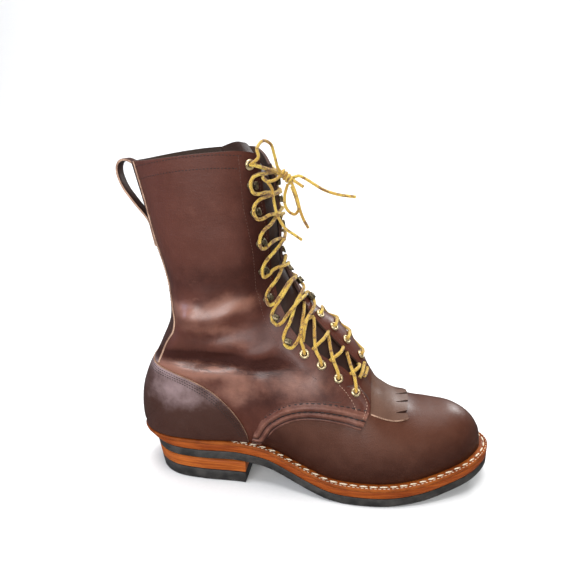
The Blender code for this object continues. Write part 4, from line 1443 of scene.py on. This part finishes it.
class Cloth:
    """Surface of finished pieces, on which seams are laid by rays from the side or the back."""

    reach = 140

    def __init__(self, *pieces):
        self.trees = []
        for piece in pieces:
            places = local_points(piece.data)
            faces = [tuple(face.vertices) for face in piece.data.polygons]
            self.trees.append(BVHTree.FromPolygons(places.tolist(), faces))

    def hit(self, start, towards):
        """First place that a ray meets within its reach, which ends short of the boot's far side."""
        nearest = None
        for tree in self.trees:
            place, normal, _, away = tree.ray_cast(Vector(start), Vector(towards), self.reach)
            if place is not None and (nearest is None or away < nearest[2]):
                nearest = (np.array(place), np.array(normal), away)
        return nearest

    def line(self, starts, towards):
        """Places and outward directions under a line of ray starts."""
        hits = [self.hit(start, towards) for start in starts]
        hits = [hit for hit in hits if hit is not None]
        places = np.array([hit[0] for hit in hits])
        out = np.array([hit[1] for hit in hits])
        away = -np.asarray(towards, float)
        out *= np.sign(out @ away)[:, None]
        return places, {"out": out}

    def from_side(self, line, side):
        return self.line([(x, side * 150, z) for x, z in line], (0, -side, 0))

    def from_back(self, line):
        return self.line([(-60, y, z) for y, z in line], (1, 0, 0))


def offset_line(line, distance):
    """Line moved to its left by a distance, in its own plane."""
    line = np.asarray(line, float)
    along = tangents(line)
    return line + np.stack([-along[:, 1], along[:, 0]], 1) * distance


def sew(name, lines, group, skin, pitch, length, width, height, slot):
    """Row of stitches along lines; sizes in millimetres."""
    piece = grown(name, lines, group, Pitch=pitch * MM, Length=length * MM, Width=width * MM,
                  Height=height * MM, Seed=7, Material=skin)
    return stands_for(piece, slot)


def surface_rows(upper, side, rows, from_edge):
    """Line on the leather a distance back from the throat edge."""
    places, out = [], []
    for row in rows:
        here, _, _, away = upper.frame(row, side, from_edge)
        places.append(here + away * relief_at(here))
        out.append(away)
    return np.array(places), {"out": np.array(out)}


def seams(upper, pieces, skins):
    """Rows of stitches along the edges of the leather pieces and round the welt."""
    group = stitch_tree()
    surface = Cloth(*pieces)
    rows = {name: [] for name in STITCHES}
    low = smooth(BAND_LOW[2:], 2.5)
    for side in (OUTER, INNER):
        edge = smooth(COUNTER_EDGE, 2.5)[2:]
        for distance in COUNTER_ROWS:
            rows["counter_stitches"].append(surface.from_side(offset_line(edge, -distance), side))
        for distance in (BAND_TOP_ROW, BAND_GROOVES[1]):
            rows["band_stitches"].append(surface.from_side(offset_line(low, distance), side))
        for line in (TAB_SEAM, QUARTER_SEAM):
            rows["tab_stitches"].append(surface.from_side(smooth(line, 2), side))
        for first, from_edge in THROAT_ROWS:
            along = np.linspace(first, upper.last - 0.2, 110)
            rows["throat_stitches"].append(surface_rows(upper, side, along, from_edge))
        for line in COLLAR_SEAMS:
            rows["collar_stitches"].append(surface.from_side(smooth(line, 2.5), side))
    for sign in (OUTER, INNER):
        stay = [(HEEL_Y + sign * (half - BACKSTAY_ROW), z) for z, half in smooth(BACKSTAY, 3)[2:-2]]
        rows["backstay_stitches"].append(surface.from_back(stay))
    for name, (thread_name, *sizes, slot) in STITCHES.items():
        sew(name, rows[name], group, skins[thread_name], *sizes, slot)
    welt_seams(group, skins)


def welt_seams(group, skins):
    """Bold white stitches and a finer outer row on the welt, from the waist round the toe."""
    from_x, top, lift, height_share = 95, OUTSOLE + MIDSOLE + WELT - CLEAR, 0.15, 0.8
    for name, inset, pitch, length, width in WELT_STITCHES:
        loop = sole_loop(inset, top)
        line = loop[loop[:, 0] > from_x] + np.array((0, 0, lift))
        out = np.tile((0.0, 0.0, 1.0), (len(line), 1))
        sizes = (pitch, length, width, width * height_share)
        sew(name, [(line, {"out": out})], group, skins["white_thread"], *sizes, "welt_leather")


# Metal

def circle(radius, height, sides):
    """Closed line of points round the z axis."""
    turns = np.linspace(0, 2 * math.pi, sides, endpoint=False)
    return [(radius * math.cos(turn), radius * math.sin(turn), height) for turn in turns]


def eyelet_part():
    """Rolled ring, in millimetres round its own axis."""
    profile = ((EYELET_HOLE, -0.4), (EYELET_HOLE, 0.7), (EYELET_HOLE + 0.35, EYELET_HEIGHT),
               (EYELET_HOLE + 1.0, EYELET_HEIGHT + 0.12), (EYELET_RADIUS - 0.5, EYELET_HEIGHT - 0.25),
               (EYELET_RADIUS, 0.0), (EYELET_RADIUS - 0.3, -0.4))
    rounds = [circle(radius, height, 28) for radius, height in profile]
    return outward(loft(list(zip(*rounds)), closed=True))


def hook_part():
    """Strip of metal on the leather, bent up at the throat side and curled back, with round ends."""
    turns = ((-3.0, 1.0), (-0.8, 1.0), (2.6, 1.1), (4.4, 2.1), (4.7, 3.8), (3.3, 5.2), (0.6, 5.5))
    half, flare, half_metal, crown, columns = 2.5, 0.8, 0.45, 0.25, 9
    route = smooth(turns, 0.6)
    share = np.linspace(0, 1, len(route))
    ends = np.sqrt(np.clip(1 - np.clip((np.abs(share - 0.5) - 0.38) / 0.125, 0, 1) ** 2, 0.03, 1))
    half_widths = (half + flare * np.clip((share - 0.55) / 0.45, 0, 1)) * ends
    bm = bmesh.new()
    grid = []
    for (x, z), reach in zip(route, half_widths):
        grid.append([bm.verts.new((x, y * reach, z - crown * y * y)) for y in np.linspace(-1, 1, columns)])
    fill_grid(bm, list(zip(*grid)))
    bm.normal_update()
    return shell(bm, half_metal, -half_metal)


def set_parts(name, bm, places, skin, nodes, group):
    """Set one made part at every place (here, throat, out) and let it stand for its nodes."""
    mesh = bpy.data.meshes.new(name + "_part")
    for face in bm.faces:
        face.material_index = 0
    bm.to_mesh(mesh)
    bm.free()
    mesh.transform(Matrix.Scale(MM, 4))
    part = linked(name + "_part", mesh)
    here, along, out = (np.array([place[i] for place in places]) for i in range(3))
    piece = grown(name, [(here, {"along": along, "out": out})], group, Part=part, Material=skin)
    bpy.data.objects.remove(part)
    return stands_for(piece, "brass", *nodes)


def setting_at(upper, row, side, from_edge):
    """Place on the creased leather, and directions to the throat and out of it."""
    here, throat, _, out = upper.frame(row, side, from_edge)
    return here + out * relief_at(here), throat, out


def metal(upper, skins):
    """Eyelets with discs of painted shade in their holes, and hooks with rivets."""
    ring_height, hole_height, rivet_back = 0.6, 0.5, 0.6
    group = setting_tree()
    eyelets, hooks, eyelet_nodes, hook_nodes = [], [], [], []
    for side, word in SIDE_WORDS:
        for number, (row, back) in enumerate(EYELETS[side], 1):
            eyelets.append(setting_at(upper, row, side, back))
            eyelet_nodes.append(f"eyelet_{word}_{number}")
        for number, row in enumerate(HOOK_ROWS, 1):
            hooks.append(setting_at(upper, row, side, HOOK_FROM_EDGE))
            hook_nodes.append(f"hook_{word}_{number}")
    rings = [(here + out * ring_height, throat, out) for here, throat, out in eyelets]
    set_parts("eyelet_rings", eyelet_part(), rings, skins["brass"], eyelet_nodes, group)
    set_parts("lace_hooks", hook_part(), hooks, skins["hook_brass"], hook_nodes, group)
    rivet = loft([circle(*size, 14) for size in ((1.7, 1.2), (1.7, 1.6), (1.3, 1.95), (0.6, 2.1))])
    rivets = [(here - throat * rivet_back, throat, out) for here, throat, out in hooks]
    set_parts("hook_rivets", outward(rivet), rivets, skins["hook_brass"], (), group)
    # A near black disc in each eyelet's hole: painted shade
    disc = loft([circle(EYELET_HOLE * 1.02, height, 20) for height in (-0.2, 0.1)])
    holes = [(here + out * hole_height, throat, out) for here, throat, out in eyelets]
    set_parts("eyelet_holes", outward(disc), holes, skins["hole"], (), group)


# Lace

def cord_tube(name, path, diameter, skin):
    """Round cord along a path, with its run and round painted on for the weave."""
    aside = (0.31, 0.87, 0.39)   # a direction that no cord starts in
    path = np.asarray(path, float)
    along = tangents(path)
    first = unit(np.cross(along[0], aside))
    turns = np.linspace(0, 2 * math.pi, LACE_SIDES, endpoint=False)
    rings, weave, turn_share = [], [], []
    for place, tangent, distance in zip(path, along, runs(path)):
        first = unit(first - tangent * np.dot(first, tangent))
        second = np.cross(tangent, first)
        for turn in turns:
            weave.append((math.cos(turn) * diameter / 2, math.sin(turn) * diameter / 2, distance))
            turn_share.append(abs(turn / math.pi - 1))
        rings.append([place + (first * math.cos(t) + second * math.sin(t)) * diameter / 2 for t in turns])
    bm = loft(rings)
    bmesh.ops.recalc_face_normals(bm, faces=bm.faces)
    piece = finished(name, bm, skin, sharp=50)
    layer = piece.data.attributes.new("weave", "FLOAT_VECTOR", "POINT")
    layer.data.foreach_set("vector", np.array(weave, np.float32).ravel())
    paint(piece, "turn", turn_share)
    return piece


def lifted(upper, row, side, from_edge, up, height):
    """Place above the creased leather."""
    here = upper.spot(row, side, from_edge, up)
    return upper.spot(row, side, from_edge, up, height + relief_at(here))


def round_hook(upper, row, side):
    """Lace over the flap, round a hook under its curl and back over the flap."""
    # distance back from the throat edge, distance up the boot and height over the leather
    turn = ((0.5, -7.0, 2.3), (6.0, -6.8, 2.4), (11.2, -4.8, 2.6), (13.4, 0.0, 3.0),
            (11.2, 4.8, 2.6), (6.0, 6.8, 2.4), (0.5, 7.0, 2.3))
    return [lifted(upper, row, side, *place) for place in turn]


def lace_zigzag(upper, strand):
    """One half of the lace, up the hooks to a top eyelet; the second half runs over the first."""
    sunk, first_height, over_first = -0.9, 0.6, 3.6
    side = OUTER if strand == 0 else INNER
    start_row = EYELETS[OUTER][3][0] + 0.3
    top_row = EYELETS[OUTER][4][0]
    path = [upper.above(start_row, 1.0 if side == OUTER else 0.0, sunk)]
    last_row = start_row
    for row in HOOK_ROWS + (top_row,):
        path.append(upper.above((last_row + row) / 2, 0.5, first_height + over_first * strand))
        if row == top_row:
            _, back = EYELETS[side][4]
            into_eyelet = ((1, -2, 2.4), (back / 2, -1, 2.6), (back - 1, 0, 2.0), (back, 0, 0.4))
            path.extend(lifted(upper, row, side, *place) for place in into_eyelet)
        else:
            path.extend(round_hook(upper, row, side))
        side = -side
        last_row = row
    return path


def eyelet_strands(upper):
    """Strands of the four lower eyelets: up across the throat, between the eyelets, and inner side runs."""
    # rows past the eyelet's, share of the way across the throat, and height
    rising = ((0.75, 0.35, 0.5), (0.95, 0.7, -0.6), (1.15, 1.0, -1.1))
    crossing = ((0.62, 0.0, -1.0), (0.5, 0.22, 2.2), (0.35, 0.5, 3.2), (0.25, 0.8, 1.8), (0.18, 1.0, -0.2),
                (0.12, 1.2, -2.2))
    over_flap, far_back = 1.9, 28
    strands = []
    for row, back in EYELETS[OUTER][:4]:
        out_of_eyelet = ((back, 0, 0.3), (back - 0.6, 0.6, 1.8), (back / 2, 3.5, 2.0), (1, 7.5, 2.0))
        strand = [lifted(upper, row, OUTER, *place) for place in out_of_eyelet]
        strand += [upper.above(row + past, across, height) for past, across, height in rising]
        strands.append(strand)
    for row, _ in EYELETS[OUTER][:3]:
        strands.append([upper.above(row + past, across, height) for past, across, height in crossing])
    for (row, back), (following, _) in zip(EYELETS[INNER][:3], EYELETS[INNER][1:4]):
        away = [(back, 0, 0.3)] + [(back + further, 0, over_flap) for further in (1.5, 7, 18)]
        strand = [lifted(upper, row, INNER, *place) for place in away]
        strand.append(lifted(upper, (row + following) / 2, INNER, back + far_back, 0, over_flap))
        strand += [lifted(upper, following, INNER, *place) for place in away[::-1]]
        strands.append(strand)
    for shift in (-0.32, 0.02):
        row = EYELETS[OUTER][0][0] + shift
        strand = [lifted(upper, row, OUTER, 3, 0, over_flap)]
        strand += [upper.above(row - 0.05, across, 2.6) for across in (0.35, 0.65)]
        strand.append(lifted(upper, row, INNER, 3, 0, over_flap))
        strands.append(strand)
    return strands


def lace_pieces(upper, skins):
    """All the crossings, joined to one piece."""
    paths = [lace_zigzag(upper, strand) for strand in (0, 1)] + eyelet_strands(upper)
    tubes = []
    for number, path in enumerate(paths):
        tubes.append(cord_tube(f"lace_part_{number}", smooth(path, 1.3), LACE, skins["lace"]))
    bm = bmesh.new()
    for tube in tubes:
        bm.from_mesh(tube.data)
    piece = tubes[0]
    piece.name = "lace_crossings"
    bm.to_mesh(piece.data)
    bm.free()
    for tube in tubes[1:]:
        bpy.data.objects.remove(tube)
    stands_for(piece, "lace_cloth", "lace")


def wound_knot():
    """Turns of lace round the bow's core, ending in the short stub."""
    core = np.array(CORDS["lace_knot"])
    axis = unit(core[-1] - core[0])
    first = unit(np.cross(axis, (0, 1, 0)))
    second = np.cross(axis, first)
    turns, radius, start = 4.5, 2.5, 2.2
    path = []
    for share in np.linspace(0, 1, 60):
        angle = 2 * math.pi * turns * share + start
        around = (first * math.cos(angle) + second * math.sin(angle)) * radius
        path.append(core[0] + (core[-1] - core[0]) * share + around)
    return path + list(smooth(CORDS["lace_short_end"], 2))


def bow(upper, skins):
    """Loops, knot and ends of the bow as cords of their real length."""
    top_row, back = EYELETS[OUTER][4]
    eyelet = tuple(lifted(upper, top_row, OUTER, back, 0, 1.2))
    through_knot = (eyelet,) + CORDS["lace_top_loop"][1:] + CORDS["lace_knot"][1:2] + CORDS["lace_long_end"]
    hanging_end = HANGING_END_START + CORDS["lace_hanging_end"][1:]
    across = CORDS["lace_cross_loop"][::-1] + CORDS["lace_strand"]
    cords = {
        # route, far end and the nodes that the cord stands for
        "lace_bow_long": (through_knot, "bare", "lace_top_loop", "lace_long_end"),
        "lace_bow_hanging_loop": (CORDS["lace_hanging_loop"], "knot", "lace_hanging_loop"),
        "lace_bow_hanging_end": (hanging_end, "bare", "lace_hanging_end"),
        "lace_bow_strand": (across, "bare", "lace_cross_loop", "lace_strand"),
        "lace_bow_knot": (wound_knot(), "bare", "lace_knot", "lace_short_end"),
    }
    for name, (route, far_end, *nodes) in cords.items():
        path = smooth(route, 1.2)
        piece = cord_tube(name, path, FREE_LACE, skins["lace"])
        stands_for(piece, "lace_cloth", *nodes)


# Stage

LIGHTS = (
    # name, place, target, width and height of the lamp in metres, power and tint
    ("overhead", (-0.05, -0.15, 1.45), (0, 0, 0.1), 0.8, 0.8, 14, (1, 1, 1)),
    ("key", (-0.32, -1.40, 0.62), (-0.03, 0, 0.14), 1.5, 0.3, 19, (0.96, 0.98, 1.0)),
    ("window", (-1.42, -0.45, 0.42), (-0.1, 0, 0.12), 0.45, 0.45, 4, (0.58, 0.68, 1.0)),
    ("front", (0.75, -1.3, 0.9), (0.05, 0, 0.10), 0.7, 0.7, 5, (1.0, 0.94, 0.86)),
    ("rim", (0.76, 1.14, 0.72), (0.08, 0, 0.07), 0.22, 0.22, 8, (1, 1, 1)),
    ("backdrop", (-0.3, 0.95, 1.9), (-0.3, 1.6, 0.7), 2.4, 2.4, 46, (1, 1, 1)),
)
WORLD_TINT, WORLD_STRENGTH = colour(0.90, 0.95, 1.0), 0.16


def floor():
    """Pale paper that sweeps up behind the boot."""
    half_width, front, back, bend, top = 2500, -1500, 900, 700, 2200
    finish = Finish("floor_paper")
    speckle = finish.place.noise(300, 2)
    shade = speckle.between(0, 1).mix(colour(0.80, 0.80, 0.80), colour(0.84, 0.84, 0.84))
    profile = [(front, 0), (back, 0)]
    for turn in np.linspace(0.1, math.pi / 2, 12):
        profile.append((back + bend * math.sin(turn), bend * (1 - math.cos(turn))))
    profile.append((back + bend, top))
    bm = bmesh.new()
    lines = [[bm.verts.new((x, y, z)) for y, z in profile] for x in (-half_width, half_width)]
    fill_grid(bm, list(zip(*lines)))
    paper = finished("floor", bm, finish.surface(shade, 0.9))
    paper.visible_glossy = False


def stage():
    """Floor, soft studio lights and the photograph's camera."""
    floor()
    world = bpy.data.worlds.new("studio")
    world.use_nodes = True
    background = world.node_tree.nodes["Background"].inputs
    background["Color"].default_value = WORLD_TINT
    background["Strength"].default_value = WORLD_STRENGTH
    bpy.context.scene.world = world
    for lamp in LIGHTS:
        light(*lamp)
    camera()


def light(name, place, target, width, height, power, tint):
    """Soft lamp that faces its target."""
    data = bpy.data.lights.new(name, "AREA")
    data.shape = "RECTANGLE"
    data.size = width
    data.size_y = height
    data.energy = power
    data.color = tint
    lamp = linked(name, data)
    lamp.visible_camera = False
    lamp.location = place
    lamp.rotation_euler = (Vector(target) - Vector(place)).to_track_quat("-Z", "Y").to_euler()


def camera():
    """The photograph's camera, fitted to it."""
    forward = np.array((-math.sin(CAMERA_YAW) * math.cos(CAMERA_PITCH),
                        math.cos(CAMERA_YAW) * math.cos(CAMERA_PITCH), -math.sin(CAMERA_PITCH)))
    right = np.array((math.cos(CAMERA_YAW), math.sin(CAMERA_YAW), 0))
    up = np.cross(right, forward)
    turn, lean = math.cos(CAMERA_ROLL), math.sin(CAMERA_ROLL)
    right, up = turn * right + lean * up, turn * up - lean * right
    data = bpy.data.cameras.new("camera")
    data.sensor_width = SENSOR
    data.lens = FOCAL_PIXELS / PHOTO_PIXELS * SENSOR
    data.clip_start = 0.01
    eye = linked("camera", data)
    eye.matrix_world = Matrix.Translation(SHIFT + Vector(CAMERA_PLACE) * MM) @ Matrix(
        (right, up, -forward)).transposed().to_4x4()
    bpy.context.scene.camera = eye


for old in list(bpy.data.objects):
    bpy.data.objects.remove(old)
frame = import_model()
SHIFT = place_in_frame()
bpy.context.scene.view_settings.view_transform = "Standard"
finishes = make_finishes()
boot = Upper()
stage()
bow(boot, finishes)
lace_pieces(boot, finishes)
sole_pieces(finishes)
upper_leather = upper_piece(boot, finishes)
upper_skin = Cloth(upper_leather).trees[0]
leather_pieces = [
    upper_leather,
    counter(boot, finishes),
    backstay(boot, finishes),
    *(quarter_band(side, word, boot, upper_skin, finishes) for side, word in SIDE_WORDS),
    kiltie(boot, upper_skin, finishes),
]
tongue(boot, finishes)
pull_loop(finishes)
metal(boot, finishes)
seams(boot, leather_pieces, finishes)
